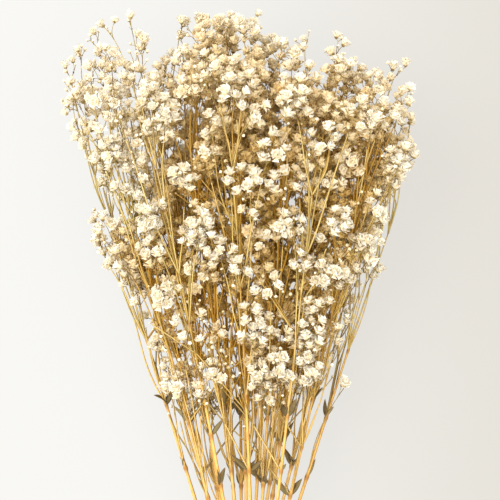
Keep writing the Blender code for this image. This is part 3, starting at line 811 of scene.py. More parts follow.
def grow_sprays(stalks, skeleton):
    """One Spray for each stem: its tufts opened out, and its thin shoots."""
    sprays = [Spray() for _ in stalks]
    randoms = [Random(1000 + stem) for stem in range(len(stalks))]
    for twig in skeleton.twigs:
        stem = twig["stem"]
        points = [skeleton.points[index] for index in twig["trail"]]
        blooms = (2, 6) if at_sparse_side(points[-1]) else BLOOMS_PER_TUFT
        dress_twig(sprays[stem], randoms[stem], points, twig["root"][1], blooms, TUFT_REACH)
    random = Random(77)
    for centre, stem in shoot_places(random, stalks, skeleton):
        points = shoot_points(random, stalks[stem], centre)
        bare = at_sparse_side(centre) and random.random() > SPARSE_KEEP
        blooms = (0, 1) if bare else BLOOMS_PER_SHOOT
        dress_twig(sprays[stem], randoms[stem], points, 0.0007, blooms, SHOOT_REACH)
    for x, y, z, count in STRAYS:
        centre = np.array((x, y, z))
        stem = nearest_stalk(random, centre, stalks)
        points = shoot_points(random, stalks[stem], centre)
        dress_twig(sprays[stem], randoms[stem], points, 0.0006, (count, count), 0.0065)
    grow_wisps(sprays, stalks)
    return sprays


# Closed forms: grids of rings between two poles


def grid_faces(forms, rings, columns):
    """Quads and triangles of closed forms, each a pole, rings of columns and a second pole."""
    c = np.arange(columns)
    n = (c + 1) % columns
    rows = 1 + columns * np.arange(rings - 1)[:, None]
    quads = np.stack((rows + c, rows + n, rows + columns + n, rows + columns + c), -1)
    last = 1 + columns * (rings - 1)
    foot = np.stack((0 * c, 1 + n, 1 + c), 1)
    head = np.stack((last + c, last + n, 0 * c + last + columns), 1)
    step = (2 + rings * columns) * np.arange(forms)[:, None, None]
    quads = (quads.reshape(-1, 4) + step).reshape(-1, 4)
    return quads, (np.vstack((foot, head)) + step).reshape(-1, 3)


def stack_forms(feet, rings, heads):
    """Vertices of closed forms in the order that grid_faces counts them."""
    forms = rings.shape[0]
    return np.concatenate((feet[:, None], rings.reshape(forms, -1, rings.shape[-1]), heads[:, None]), 1)


def frames_along(paths, side):
    """Unit tangents of paths, and two directions square to each, the first nearest to side."""
    tangents = unit(np.gradient(paths, axis=1))
    first = side[:, None] - (side[:, None] * tangents).sum(-1, keepdims=True) * tangents
    first = unit(first)
    return tangents, first, np.cross(tangents, first)


def carry_profile(paths, profiles, side):
    """Carries cross-sections along paths: centre + x * first + y * second at every path point.

    paths is forms x points x 3, profiles is forms x points x columns x 2, and the ends close to
    the path's own end points.
    """
    _, first, second = frames_along(paths, side)
    rings = paths[:, :, None] + profiles[..., :1] * first[:, :, None] + profiles[..., 1:] * second[:, :, None]
    return stack_forms(paths[:, 0], rings, paths[:, -1])


def least_axis(paths):
    """For each path, the world axis that it runs along least."""
    return np.eye(3)[np.abs(unit(paths[:, -1] - paths[:, 0])).argmin(1)]


def round_profiles(radii, columns):
    """Circles of the given radii: (r cos a, r sin a) round the columns."""
    turn = 2 * math.pi * np.arange(columns) / columns
    circle = np.stack((np.cos(turn), np.sin(turn)), -1)
    return radii[..., None, None] * circle


class Builder:
    """Gathers closed forms and their attributes into one mesh."""

    def __init__(self):
        self.vertices = []
        self.quads = []
        self.triangles = []
        self.values = {}
        self.count = 0

    def add(self, vertices, rings, columns, **values):
        """Adds forms x vertices x 3 points, with an attribute array or number for each name."""
        forms, size = vertices.shape[:2]
        quads, triangles = grid_faces(forms, rings, columns)
        self.quads.append(quads + self.count)
        self.triangles.append(triangles + self.count)
        self.vertices.append(vertices.reshape(-1, 3))
        for name, value in values.items():
            filled = np.broadcast_to(np.asarray(value, float), (forms, size)).reshape(-1)
            self.values.setdefault(name, []).append(filled)
        self.count += forms * size

    def add_tubes(self, paths, profiles, side, **values):
        """Adds tubes, with how far each vertex faces right and down, away from the key light: a share for painted
        shade on that side of each tube.
        """
        points, columns = profiles.shape[1:3]
        vertices = carry_profile(paths, profiles, side)
        middles = stack_forms(paths[:, 0], np.repeat(paths[:, :, None], columns, 2), paths[:, -1])
        facing = (unit(vertices - middles) * (0.80, -0.15, -0.55)).sum(-1)
        self.add(vertices, points, columns, sheltered=0.5 + 0.5 * facing, **values)

    def add_wedges(self, vertices, **values):
        """Adds closed forms of four corners, forms x 4 x 3, each turned so that it faces out."""
        foot, left, right, back = vertices.transpose(1, 0, 2)
        volume = (np.cross(left - foot, right - foot) * (back - foot)).sum(-1)
        order = np.where(volume[:, None] > 0, (0, 2, 1, 3), (0, 1, 2, 3))
        vertices = np.take_along_axis(vertices, order[..., None], 1)
        corners = np.array(((0, 1, 2), (0, 2, 3), (2, 1, 3), (1, 0, 3)))
        forms = len(vertices)
        self.triangles.append((corners + 4 * np.arange(forms)[:, None, None]).reshape(-1, 3) + self.count)
        self.quads.append(np.zeros((0, 4), int))
        self.vertices.append(vertices.reshape(-1, 3))
        for name, value in values.items():
            filled = np.broadcast_to(np.asarray(value, float), (forms, 4)).reshape(-1)
            self.values.setdefault(name, []).append(filled)
        self.count += 4 * forms

    def make(self, name, material, smooth):
        """The gathered forms as one object with its material."""
        vertices = np.concatenate(self.vertices)
        vertices[:, 2] = np.maximum(vertices[:, 2], 0)
        faces = (np.concatenate(self.quads), np.concatenate(self.triangles))
        mesh = bpy.data.meshes.new(name)
        mesh.vertices.add(len(vertices))
        mesh.vertices.foreach_set("co", vertices.astype(np.float32).ravel())
        corners = np.concatenate([f.ravel() for f in faces]).astype(np.int32)
        sizes = np.concatenate([np.full(len(f), f.shape[1]) for f in faces])
        mesh.loops.add(len(corners))
        mesh.loops.foreach_set("vertex_index", corners)
        mesh.polygons.add(len(sizes))
        starts = np.concatenate(([0], np.cumsum(sizes)[:-1])).astype(np.int32)
        mesh.polygons.foreach_set("loop_start", starts)
        mesh.update(calc_edges=True)
        mesh.validate()
        for key, parts in self.values.items():
            layer = mesh.attributes.new(key, "FLOAT", "POINT")
            layer.data.foreach_set("value", np.concatenate(parts).astype(np.float32))
        mesh.polygons.foreach_set("use_smooth", np.full(len(mesh.polygons), smooth))
        mesh.materials.append(material)
        made = bpy.data.objects.new(name, mesh)
        bpy.context.scene.collection.objects.link(made)
        return made


def stalk_forms(builder, stem, stalk):
    """The stalk: a tube through its points whose radius swells at each node.

    radius = taper * (1 + swell * exp(-((y - node) / length)^2)) summed over the nodes, with a
    slow ripple between them.
    """
    last = stalk["nodes"][-1]
    heights = np.linspace(stalk["cut"], last, 110)
    heights = np.sort(np.concatenate((heights, *[n + np.array([-0.003, -0.0015, 0, 0.0015, 0.003]) for n in stalk["nodes"][:-1]])))
    path = np.array([stalk_point(stalk["place"], stalk["bow"], y) for y in heights])
    radii = np.array([stalk_radius(stalk, y) for y in heights])
    radii = radii * (1 - TOP_THINNING * np.array([smoothstep(0.13, 0.31, y) for y in heights]))
    for node in stalk["nodes"]:
        radii = radii * (1 + NODE_SWELL * np.exp(-(((heights - node) / NODE_LENGTH) ** 2)))
    radii = radii * (1 + 0.04 * np.sin(heights * 260 + stem))
    radii[-1] *= 0.6
    columns = 10
    profile = round_profiles(radii[None], columns)
    turn = 2 * math.pi * np.arange(columns) / columns
    ribs = 1 + 0.05 * np.cos(3 * turn + stem)[None, None, :, None]
    tone = Random(50 + stem).random()
    joint = sum(np.exp(-(((heights - node) / (1.3 * NODE_LENGTH)) ** 2)) for node in stalk["nodes"])
    joint = np.concatenate(([0.0], np.repeat(np.clip(joint, 0, 1) * 0.75, columns), [0.0]))
    end = np.concatenate(([1.0], np.zeros(len(joint) - 1)))
    # Painted shade: stalk lengths deep inside the head take a share of the inner shade colour.
    deep = [0.8 * inwardness(point) if point[1] > 0.19 else 0.0 for point in path]
    deep = np.concatenate(([deep[0]], np.repeat(deep, columns), [deep[-1]]))
    values = {"tone": tone, "twig": 0.0, "joint": joint[None], "end": end[None], "deep": deep[None]}
    builder.add_tubes(path[None], profile * ribs, np.array([[1.0, 0, 0]]), **values)


def tube_forms(builder, spray, stem):
    """Twigs and bloom stalks: round tubes along their paths, grouped by how many points they have."""
    random = Random(90 + stem)
    sizes = sorted({len(path) for path in spray.tubes})
    for size in sizes:
        chosen = [k for k, path in enumerate(spray.tubes) if len(path) == size]
        paths = np.array([spray.tubes[k] for k in chosen])
        radii = np.array([spray.tube_radii[k] for k in chosen])
        columns = 5 if size > 6 else 4 if size > 4 else 3
        tone = np.array([[random.random()] for _ in chosen])
        twig = 0.4 if size > 6 else 0.6 if size > 4 else 1.0
        # Painted shade: twigs deep inside the head take a share of the inner shade colour.
        deep = np.array([[inwardness(path[-1]), inwardness(path[len(path) // 2])] for path in paths])
        deep = np.concatenate((deep[:, 1:], np.repeat(deep[:, ::-1], size * columns // 2, 1)), 1)
        deep = np.concatenate((deep, np.repeat(deep[:, -1:], 2 + size * columns - deep.shape[1], 1)), 1)
        values = {"tone": tone, "twig": twig, "joint": 0.0, "end": 0.0, "deep": deep}
        builder.add_tubes(paths, round_profiles(radii, columns), least_axis(paths), **values)


# Petals of a double bloom: how far each whorl's tips reach, rise and spread, as shares of R
WHORLS = (
    {"petals": 5, "reach": 0.95, "rise": 4.0, "half_width": 0.47, "turn": 0.0},
    {"petals": 5, "reach": 0.90, "rise": 35.0, "half_width": 0.41, "turn": 0.63},
    {"petals": 3, "reach": 0.80, "rise": 64.0, "half_width": 0.35, "turn": 0.3},
)
CORE_RINGS = np.array(((0.33, -0.50, 0.05), (0.48, 0.0, 0.40)))


def bloom_axes(spray_rows, draw):
    """Centres, sizes and three unit directions of flowers: up, and two across."""
    centres, up = (np.array([row[k] for row in spray_rows]) for k in (0, 1))
    side = unit(np.cross(up, draw.standard_normal(up.shape)))
    return centres, np.stack((side, np.cross(up, side), up), 1)


def place_local(points, centres, axes, sizes):
    """Points in flower coordinates, scaled by the flowers' sizes and set at their centres."""
    turned = np.einsum("f...k,fkj->f...j", points * sizes.reshape(-1, *[1] * (points.ndim - 1)), axes)
    return turned + centres.reshape(-1, *[1] * (points.ndim - 2), 3)


def core_forms(builder, centres, axes, sizes, age, deep, draw, rings, low, high):
    """The cup and middle of a flower: rings (r cos a, r sin a, z) between two poles."""
    columns, forms = 5, len(centres)
    turn = 2 * math.pi * np.arange(columns) / columns
    radius = rings[None, :, 0, None] * (1 + 0.10 * draw.standard_normal((forms, len(rings), columns)))
    height = rings[None, :, 1, None] + 0 * radius
    points = np.stack((radius * np.cos(turn), radius * np.sin(turn), height), -1)
    foot, head = (np.broadcast_to((0.0, 0.0, z), (forms, 3)) for z in (low, high))
    vertices = place_local(stack_forms(foot, points, head), centres, axes, sizes)
    share = np.concatenate(([0.0], np.repeat(rings[:, 2], columns), [rings[-1, 2]]))
    builder.add(vertices, len(rings), columns, petal=share[None], age=age[:, None], deep=deep[:, None])


def petal_forms(builder, centres, axes, sizes, opened, age, deep, draw):
    """Wedge-shaped petals in whorls, each a thin closed form of four corners.

    A petal runs from its foot in the cup to a wide outer edge at reach * (cos rise cos a,
    cos rise sin a, sin rise), whose two corners flutter up and down, and its back is bowed out.
    """
    forms = len(centres)
    for whorl in WHORLS:
        count = whorl["petals"]
        jitter = draw.standard_normal((6, forms, count))
        angle = whorl["turn"] + 2 * math.pi * np.arange(count) / count + 0.16 * jitter[0]
        closing = (1 - opened[:, None]) * 60
        rise = np.radians(whorl["rise"] + closing + 9 * jitter[1])
        reach = whorl["reach"] * (1 + 0.09 * jitter[2])
        out = np.stack((np.cos(angle), np.sin(angle), 0 * angle), -1)
        across = np.stack((-np.sin(angle), np.cos(angle), 0 * angle), -1)
        up = np.array((0.0, 0.0, 1.0))
        tip = (reach * np.cos(rise))[..., None] * out + (reach * np.sin(rise))[..., None] * up
        foot = 0.10 * out - 0.34 * up
        half = (whorl["half_width"] * (1 + 0.12 * jitter[3]))[..., None] * across
        left = tip - half + (0.10 * jitter[4])[..., None] * up
        right = tip + half + (0.10 * jitter[5])[..., None] * up
        back = 0.55 * tip + 0.45 * foot + 0.16 * (out * np.sin(rise)[..., None] - up * np.cos(rise)[..., None])
        points = np.stack((foot, left, right, back), 2)
        vertices = place_local(points, centres, axes, sizes).reshape(-1, 4, 3)
        fade = np.repeat(age, count)[:, None]
        inner = np.repeat(deep, count)[:, None]
        builder.add_wedges(vertices, petal=np.array(((0.40, 1.0, 0.95, 0.75),)), age=fade, deep=inner)


def bloom_forms(builder, spray, stem):
    """Double blooms: a cup with a core, and whorls of petals round it."""
    draw = np.random.default_rng(400 + stem)
    centres, axes = bloom_axes(spray.blooms, draw)
    sizes, opened, age, deep = (np.array([bloom[k] for bloom in spray.blooms]) for k in (2, 3, 4, 5))
    core_forms(builder, centres, axes, sizes, age, deep, draw, CORE_RINGS, -0.78, 0.30)
    petal_forms(builder, centres, axes, sizes, opened, age, deep, draw)


BUD_RINGS = np.array(((0.70, -0.35, 0.15), (0.85, 0.20, 0.70), (0.45, 0.75, 0.90)))


def bud_forms(builder, spray, stem):
    """Closed buds: egg-shaped, calyx below and folded petals on top."""
    draw = np.random.default_rng(800 + stem)
    centres, axes = bloom_axes(spray.buds, draw)
    sizes, age, deep = (np.array([bud[k] for bud in spray.buds]) for k in (2, 3, 4))
    core_forms(builder, centres, axes, sizes, age, deep, draw, BUD_RINGS, -0.9, 1.0)


def blade_forms(builder, roots, headings, sides, lengths, widths, curls, points, columns, tones):
    """Narrow leaves: a thin lens-shaped section carried along an arched midrib.

    half width = W * sin(pi s^0.75)^0.8, the two halves fold up along the midrib, the midrib bends
    back by curl * s^2, and the blade twists by 2.2 * curl * s about it.
    """
    s = np.linspace(0, 1, points)
    normals = np.cross(headings, sides)
    paths = roots[:, None] + (lengths[:, None] * s)[..., None] * headings[:, None]
    paths = paths + (curls[:, None] * lengths[:, None] * s**2)[..., None] * normals[:, None]
    turn = 2 * math.pi * np.arange(columns) / columns
    outline = np.maximum(np.sin(math.pi * s**0.75), 0.0) ** 0.8 * 0.92 + 0.08 * (1 - s)
    half = widths[:, None] * outline[None]
    across = half[..., None] * np.cos(turn)
    thick = np.maximum(0.10 * half, 0.00008)
    rise = thick[..., None] * np.sin(turn) + 0.35 * np.abs(across)
    twist = (2.2 * curls[:, None] * s)[..., None]
    turned = np.cos(twist) * across - np.sin(twist) * rise, np.sin(twist) * across + np.cos(twist) * rise
    vertices = carry_profile(paths, np.stack(turned, -1), sides)
    along = np.concatenate(([0.0], np.repeat(s, columns), [1.0]))
    builder.add(vertices, points, columns, tone=np.asarray(tones)[:, None], along=along[None])


def leaf_pieces(builder, stem, skeleton, spray, stalk):
    """The leaf pairs of a stem, the short bracts at its nodes and those at its twigs' forks."""
    random = Random(700 + stem)
    rows = []
    for leaf in (v for v in skeleton.leaves if v["stem"] == stem):
        root, tip = skeleton.points[leaf["root"]], skeleton.points[leaf["tip"]]
        bent = random.uniform(-0.55, 0.45)
        rows.append((root, unit(tip - root), leaf["length"], 1.25 * LEAF_HALF_WIDTH, bent, 12))
    for node in stalk["nodes"][:-1]:
        for side in (1, -1):
            if random.random() < 0.40:
                continue
            angle = random.uniform(0, math.pi)
            out = np.array((side * math.cos(angle), 0, side * math.sin(angle)))
            heading = unit(out * random.uniform(0.35, 0.8) + np.array((0, 1, 0)))
            length = random.uniform(0.007, 0.015)
            root = stalk_point(stalk["place"], stalk["bow"], node)
            rows.append((root, heading, length, length * 0.12, random.uniform(-0.6, 0.4), 8))
    for fork, onward, angle in spray.bracts:
        for side in (1, -1):
            out = unit(np.cross(onward, (math.cos(angle), 0.3, math.sin(angle))))
            heading = unit(onward + side * 0.8 * out)
            rows.append((fork, heading, random.uniform(0.0012, 0.0028), 0.0004, 0.0, 3))
    for points in sorted({row[5] for row in rows}):
        chosen = [row for row in rows if row[5] == points]
        roots = np.array([row[0] for row in chosen])
        headings = np.array([row[1] for row in chosen])
        rolls = np.array([(random.uniform(-1, 1), 0.1, random.uniform(0.3, 1)) for _ in chosen])
        sides = unit(np.cross(headings, rolls))
        lengths, widths, curls = (np.array([row[k] for row in chosen]) for k in (2, 3, 4))
        tones = [random.random() for _ in chosen]
        columns = 6 if points > 3 else 3
        blade_forms(builder, roots, headings, sides, lengths, widths, curls, points, columns, tones)


def petiole_hairs(count, start, ends, radius):
    """Short stiff hairs: straight tapering tubes of three sides from start to ends."""
    t = np.linspace(0, 1, 3)[None, :, None]
    paths = start[:, None] + t * (ends - start)[:, None]
    radii = np.broadcast_to(radius * np.array([1.0, 0.8, 0.4]), (count, 3))
    return carry_profile(paths, round_profiles(radii, 3), least_axis(paths))


# The twine: turns, knot and tails


def twine_forms(builder, path, radius, frayed):
    """Three-ply twine carried along a path.

    The section is r * (1 + 0.17 cos 3(a - twist s)), which is three strands that wind round each
    other once every 4.5 mm, and groove is 0 between the strands and 1 on top of them.
    """
    columns = 12
    at = np.concatenate(([0.0], np.cumsum(np.linalg.norm(np.diff(path, axis=0), axis=1))))
    turn = 2 * math.pi * np.arange(columns) / columns
    wind = np.cos(3 * (turn[None] - at[:, None] * (2 * math.pi / 0.0045) / 3))
    swell = np.full(len(path), 1.0)
    if frayed:
        swell = 1 + 0.35 * np.clip((at - at[-1] + 0.003) / 0.003, 0, 1)
    radii = radius * swell[:, None] * (1 + 0.17 * wind)
    profile = np.stack((radii * np.cos(turn), radii * np.sin(turn)), -1)
    vertices = carry_profile(path[None], profile[None], least_axis(path[None]))
    groove = np.concatenate(([0.5], (0.5 + 0.5 * wind).ravel(), [0.5]))
    along = np.concatenate(([at[0]], np.repeat(at, columns), [at[-1]]))
    builder.add(vertices, len(path), columns, groove=groove[None], along=along[None])


def turns_path():
    """A helix of five turns round the stalks, both ends drawn in under the knot."""
    t = np.linspace(0, 1, 40 * TWINE_TURNS + 1)
    angle = math.pi / 2 + 2 * math.pi * TWINE_TURNS * t
    half = (TWINE_TURNS - 1) * TWINE_PITCH / 2
    radius = TIE_INNER_RADIUS + TWINE_RADIUS
    wobble = 0.00012 * np.sin(7 * angle) + 0.00010 * np.sin(11.3 * angle)
    y = half * (2 * t - 1) + 0.0003 * np.sin(2.7 * angle)
    x = (radius + wobble) * np.cos(angle)
    return np.stack((x, y, TIE_CENTRE_Z + (radius + wobble) * np.sin(angle)), 1)


def knot_path():
    """A trefoil, (sin t + 2 sin 2t, cos t - 2 cos 2t, -sin 3t), pulled tight on top of the tie."""
    t = np.linspace(0, 2 * math.pi, 60)
    x = np.sin(t) + 2 * np.sin(2 * t)
    y = np.cos(t) - 2 * np.cos(2 * t)
    top = TIE_CENTRE_Z + TIE_OUTER_RADIUS
    return np.stack((0.00078 * x + 0.0005, 0.00066 * y + 0.0004, -0.0007 * np.sin(3 * t) + top + 0.0002), 1)


def tail_path(side, reach):
    """A tail of the knot: out to one side in a low arch, as the solid's tail runs."""
    share = np.linspace(0, 1, 40)
    top = TIE_CENTRE_Z + TIE_OUTER_RADIUS
    x = side * (0.0006 + reach * share)
    y = 0.0004 + 0.010 * share**1.5
    z = top + 0.0006 + 0.0030 * np.sin(math.pi * share) - 0.0018 * share
    return np.stack((x, y, z), 1)


def twine_hairs(builder, paths):
    """Loose fibres of the twine: hairs that leave its paths sideways and a little along."""
    draw = np.random.default_rng(77)
    route = np.concatenate(paths)
    chosen = draw.integers(1, len(route) - 1, 150)
    start = route[chosen]
    along = unit(route[chosen + 1 - 2 * (chosen + 1 >= len(route))] - start + 1e-6)
    reach = draw.uniform(0.0014, 0.0034, (150, 1))
    ends = start + reach * unit(draw.standard_normal((150, 3)) + 1.2 * along)
    vertices = petiole_hairs(150, start, ends, 0.00005)
    builder.add(vertices, 3, 3, groove=0.9, along=0.0)


# Materials


def add_node(tree, kind, inputs=None, **settings):
    """A node with its settings, and a value or a link for each named input."""
    node = tree.nodes.new(kind)
    for key, value in settings.items():
        setattr(node, key, value)
    for key, value in (inputs or {}).items():
        if isinstance(value, bpy.types.NodeSocket):
            tree.links.new(value, node.inputs[key])
        else:
            node.inputs[key].default_value = value
    return node


def mix_colours(tree, factor, first, second, how="MIX"):
    """The colour between two others, as a socket."""
    node = tree.nodes.new("ShaderNodeMix")
    node.data_type = "RGBA"
    node.blend_type = how
    for index, value in ((0, factor), (6, first), (7, second)):
        if isinstance(value, bpy.types.NodeSocket):
            tree.links.new(value, node.inputs[index])
        elif index:
            node.inputs[index].default_value = (*value[:3], 1)
        else:
            node.inputs[index].default_value = value
    return node.outputs[2]


def remap(tree, value, low, high, out_low, out_high, smooth=False):
    """A value carried from one range to another and kept inside it."""
    kind = "SMOOTHSTEP" if smooth else "LINEAR"
    names = ("Value", "From Min", "From Max", "To Min", "To Max")
    inputs = dict(zip(names, (value, low, high, out_low, out_high)))
    return add_node(tree, "ShaderNodeMapRange", inputs, interpolation_type=kind).outputs[0]


def new_group(name, inputs, outputs):
    """An empty node group with its sockets, and its input and output nodes."""
    group = bpy.data.node_groups.new(name, "ShaderNodeTree")
    for label, kind, default in inputs:
        socket = group.interface.new_socket(name=label, in_out="INPUT", socket_type=kind)
        socket.default_value = default
    for label, kind in outputs:
        group.interface.new_socket(name=label, in_out="OUTPUT", socket_type=kind)
    return group, group.nodes.new("NodeGroupInput"), group.nodes.new("NodeGroupOutput")


def mottling_group():
    """Soft blotches over a colour, and a fine grain as a height."""
    group, given, result = new_group(
        "Mottling",
        (
            ("Color", "NodeSocketColor", (0.8, 0.8, 0.8, 1)),
            ("Blotch", "NodeSocketColor", (0.5, 0.4, 0.3, 1)),
            ("Scale", "NodeSocketFloat", 300.0),
            ("Amount", "NodeSocketFloat", 0.3),
            ("Grain", "NodeSocketFloat", 2500.0),
        ),
        (("Color", "NodeSocketColor"), ("Height", "NodeSocketFloat")),
    )
    place = add_node(group, "ShaderNodeTexCoord").outputs["Object"]
    blotch = add_node(
        group, "ShaderNodeTexNoise", {"Vector": place, "Scale": given.outputs["Scale"], "Detail": 3.0}
    )
    amount = remap(group, blotch.outputs[0], 0.40, 0.68, 0.0, 1.0, True)
    scaled = add_node(group, "ShaderNodeMath", {0: amount, 1: given.outputs["Amount"]}, operation="MULTIPLY")
    colour = mix_colours(group, scaled.outputs[0], given.outputs["Color"], given.outputs["Blotch"])
    grain = add_node(
        group, "ShaderNodeTexNoise", {"Vector": place, "Scale": given.outputs["Grain"], "Detail": 2.0}
    )
    group.links.new(colour, result.inputs["Color"])
    group.links.new(grain.outputs[0], result.inputs["Height"])
    return group


def streak_group():
    """Long fibres: noise on coordinates squeezed along Y, as a factor and as a height."""
    group, given, result = new_group(
        "Fibre streaks",
        (
            ("Color", "NodeSocketColor", (0.6, 0.4, 0.2, 1)),
            ("Dark", "NodeSocketColor", (0.3, 0.2, 0.1, 1)),
            ("Scale", "NodeSocketFloat", 1800.0),
            ("Amount", "NodeSocketFloat", 0.4),
        ),
        (("Color", "NodeSocketColor"), ("Height", "NodeSocketFloat")),
    )
    place = add_node(group, "ShaderNodeTexCoord").outputs["Object"]
    squeezed = add_node(group, "ShaderNodeMapping", {"Vector": place, "Scale": (1.0, 0.035, 1.0)})
    fibres = add_node(
        group,
        "ShaderNodeTexNoise",
        {"Vector": squeezed.outputs[0], "Scale": given.outputs["Scale"], "Detail": 3.0},
    )
    dark = remap(group, fibres.outputs[0], 0.45, 0.70, 0.0, 1.0, True)
    scaled = add_node(group, "ShaderNodeMath", {0: dark, 1: given.outputs["Amount"]}, operation="MULTIPLY")
    colour = mix_colours(group, scaled.outputs[0], given.outputs["Color"], given.outputs["Dark"])
    group.links.new(colour, result.inputs["Color"])
    group.links.new(fibres.outputs[0], result.inputs["Height"])
    return group


def new_material(name, roughness, specular):
    """A material, its tree and its shader, with constant values on the shader's own sockets."""
    material = bpy.data.materials.new(name)
    material.use_nodes = True
    tree = material.node_tree
    shader = tree.nodes["Principled BSDF"]
    shader.inputs["Roughness"].default_value = roughness
    shader.inputs["Specular IOR Level"].default_value = specular
    return material, tree, shader


def read_attribute(tree, name):
    return add_node(tree, "ShaderNodeAttribute", attribute_name=name).outputs["Fac"]


def use_group(tree, group, **inputs):
    """A group node with its inputs set; words in a name are joined by nothing."""
    node = add_node(tree, "ShaderNodeGroup", node_tree=group)
    for key, value in inputs.items():
        if isinstance(value, bpy.types.NodeSocket):
            tree.links.new(value, node.inputs[key])
        else:
            node.inputs[key].default_value = value
    return node


def add_bump(tree, shader, height, strength, distance):
    bump = add_node(tree, "ShaderNodeBump", {"Height": height, "Strength": strength, "Distance": distance})
    tree.links.new(bump.outputs[0], shader.inputs["Normal"])


def full(colour):
    """A colour with its alpha."""
    return (*colour[:3], 1.0)


def petal_material(look, mottling):
    """Papery petals: ivory or tan tips over painted shade at their feet and backs in the fold colours, with a
    green-brown calyx underneath.
    """
    material, tree, shader = new_material("dried_bloom", 0.85, 0.08)
    petal = read_attribute(tree, "petal")
    age = read_attribute(tree, "age")
    tips = mix_colours(tree, age, look.ivory, look.tan)
    # Painted shade: the feet and backs of the petals, where they crowd together, take the darker fold colours.
    fold_shades = mix_colours(tree, age, look.fold, look.old_fold_shade)
    lit = remap(tree, petal, 0.35, 1.02, 0.0, 1.0, True)
    petals = mix_colours(tree, lit, fold_shades, tips)
    # Painted shade: blooms deep inside the head are tinted towards the dark golden inner shade colour.
    petals = mix_colours(tree, read_attribute(tree, "deep"), petals, look.inner)
    body = remap(tree, petal, 0.08, 0.30, 0.0, 1.0, True)
    colour = mix_colours(tree, body, look.calyx, petals)
    spots = use_group(tree, mottling, Color=colour, Blotch=full(look.fold), Scale=800.0, Amount=0.5, Grain=1000.0)
    tree.links.new(spots.outputs["Color"], shader.inputs["Base Color"])
    add_bump(tree, shader, spots.outputs["Height"], 1.0, 0.0011)
    return material


def stem_material(look, mottling, streaks):
    """Dry stalks: ochre at the cut ends, straw higher up, grey-brown in the finest twigs, with painted shade deep
    in the head and on the side of each stalk that faces away from the key light.
    """
    material, tree, shader = new_material("dried_stem", 0.60, 0.08)
    place = add_node(tree, "ShaderNodeTexCoord").outputs["Object"]
    height = add_node(tree, "ShaderNodeSeparateXYZ", {0: place}).outputs["Y"]
    low = remap(tree, height, 0.17, 0.30, 0.0, 1.0, True)
    high = remap(tree, height, 0.26, 0.42, 0.0, 1.0, True)
    colour = mix_colours(tree, low, look.ochre, look.straw)
    colour = mix_colours(tree, high, colour, look.old_straw)
    twig = read_attribute(tree, "twig")
    colour = mix_colours(tree, twig, colour, look.pedicel)
    tone = read_attribute(tree, "tone")
    pale = remap(tree, tone, 0.0, 0.6, 0.4, 0.0)
    colour = mix_colours(tree, pale, colour, look.pale_straw)
    dark = remap(tree, tone, 0.55, 0.85, 0.0, 1.0, True)
    thin = add_node(tree, "ShaderNodeMath", {0: dark, 1: twig}, operation="MULTIPLY").outputs[0]
    colour = mix_colours(tree, thin, colour, look.dark_twig)
    # Painted shade: stalks deep inside the head are tinted towards the dark inner shade colour.
    colour = mix_colours(tree, read_attribute(tree, "deep"), colour, look.inner)
    # Painted shade: the side of each stalk and twig that faces right and down, away from the key light, is
    # multiplied by a darker tint.
    sheltered = remap(tree, read_attribute(tree, "sheltered"), 0.32, 0.80, 0.0, 1.0, True)
    colour = mix_colours(tree, sheltered, colour, look.sheltered, "MULTIPLY")
    joint = read_attribute(tree, "joint")
    colour = mix_colours(tree, joint, colour, look.joint)
    spots = use_group(tree, mottling, Color=colour, Blotch=full(look.joint), Scale=120.0, Amount=0.22, Grain=1500.0)
    fibres = use_group(
        tree, streaks, Color=spots.outputs["Color"], Dark=full(look.joint), Scale=1900.0, Amount=0.42
    )
    end = read_attribute(tree, "end")
    colour = mix_colours(tree, end, fibres.outputs["Color"], look.pith)
    tree.links.new(colour, shader.inputs["Base Color"])
    add_bump(tree, shader, fibres.outputs["Height"], 0.45, 0.0003)
    return material


def leaf_material(look, mottling, streaks):
    """Dried leaves: dark olive, browner at the tip, with fine veins along the blade."""
    material, tree, shader = new_material("dried_leaf", 0.70, 0.25)
    along = read_attribute(tree, "along")
    tone = read_attribute(tree, "tone")
    colour = mix_colours(tree, tone, look.dark, look.grey)
    tip = remap(tree, along, 0.55, 1.0, 0.0, 0.8, True)
    colour = mix_colours(tree, tip, colour, look.tip)
    spots = use_group(tree, mottling, Color=colour, Blotch=full(look.tip), Scale=350.0, Amount=0.4, Grain=1800.0)
    veins = use_group(
        tree, streaks, Color=spots.outputs["Color"], Dark=full(look.dark), Scale=2600.0, Amount=0.5
    )
    tree.links.new(veins.outputs["Color"], shader.inputs["Base Color"])
    add_bump(tree, shader, veins.outputs["Height"], 0.5, 0.0003)
    return material


def twine_material(look, mottling):
    """Jute: pale fibres on the strands, painted shade between them, speckled."""
    material, tree, shader = new_material("jute_twine", 0.88, 0.15)
    groove = read_attribute(tree, "groove")
    # Painted shade: the grooves between the strands take the dark shade colour.
    ridge = remap(tree, groove, 0.05, 0.75, 0.0, 1.0, True)
    colour = mix_colours(tree, ridge, look.shade, look.fibre)
    spots = use_group(tree, mottling, Color=colour, Blotch=full(look.shade), Scale=900.0, Amount=0.5, Grain=3200.0)
    tree.links.new(spots.outputs["Color"], shader.inputs["Base Color"])
    add_bump(tree, shader, spots.outputs["Height"], 0.8, 0.0003)
    return material


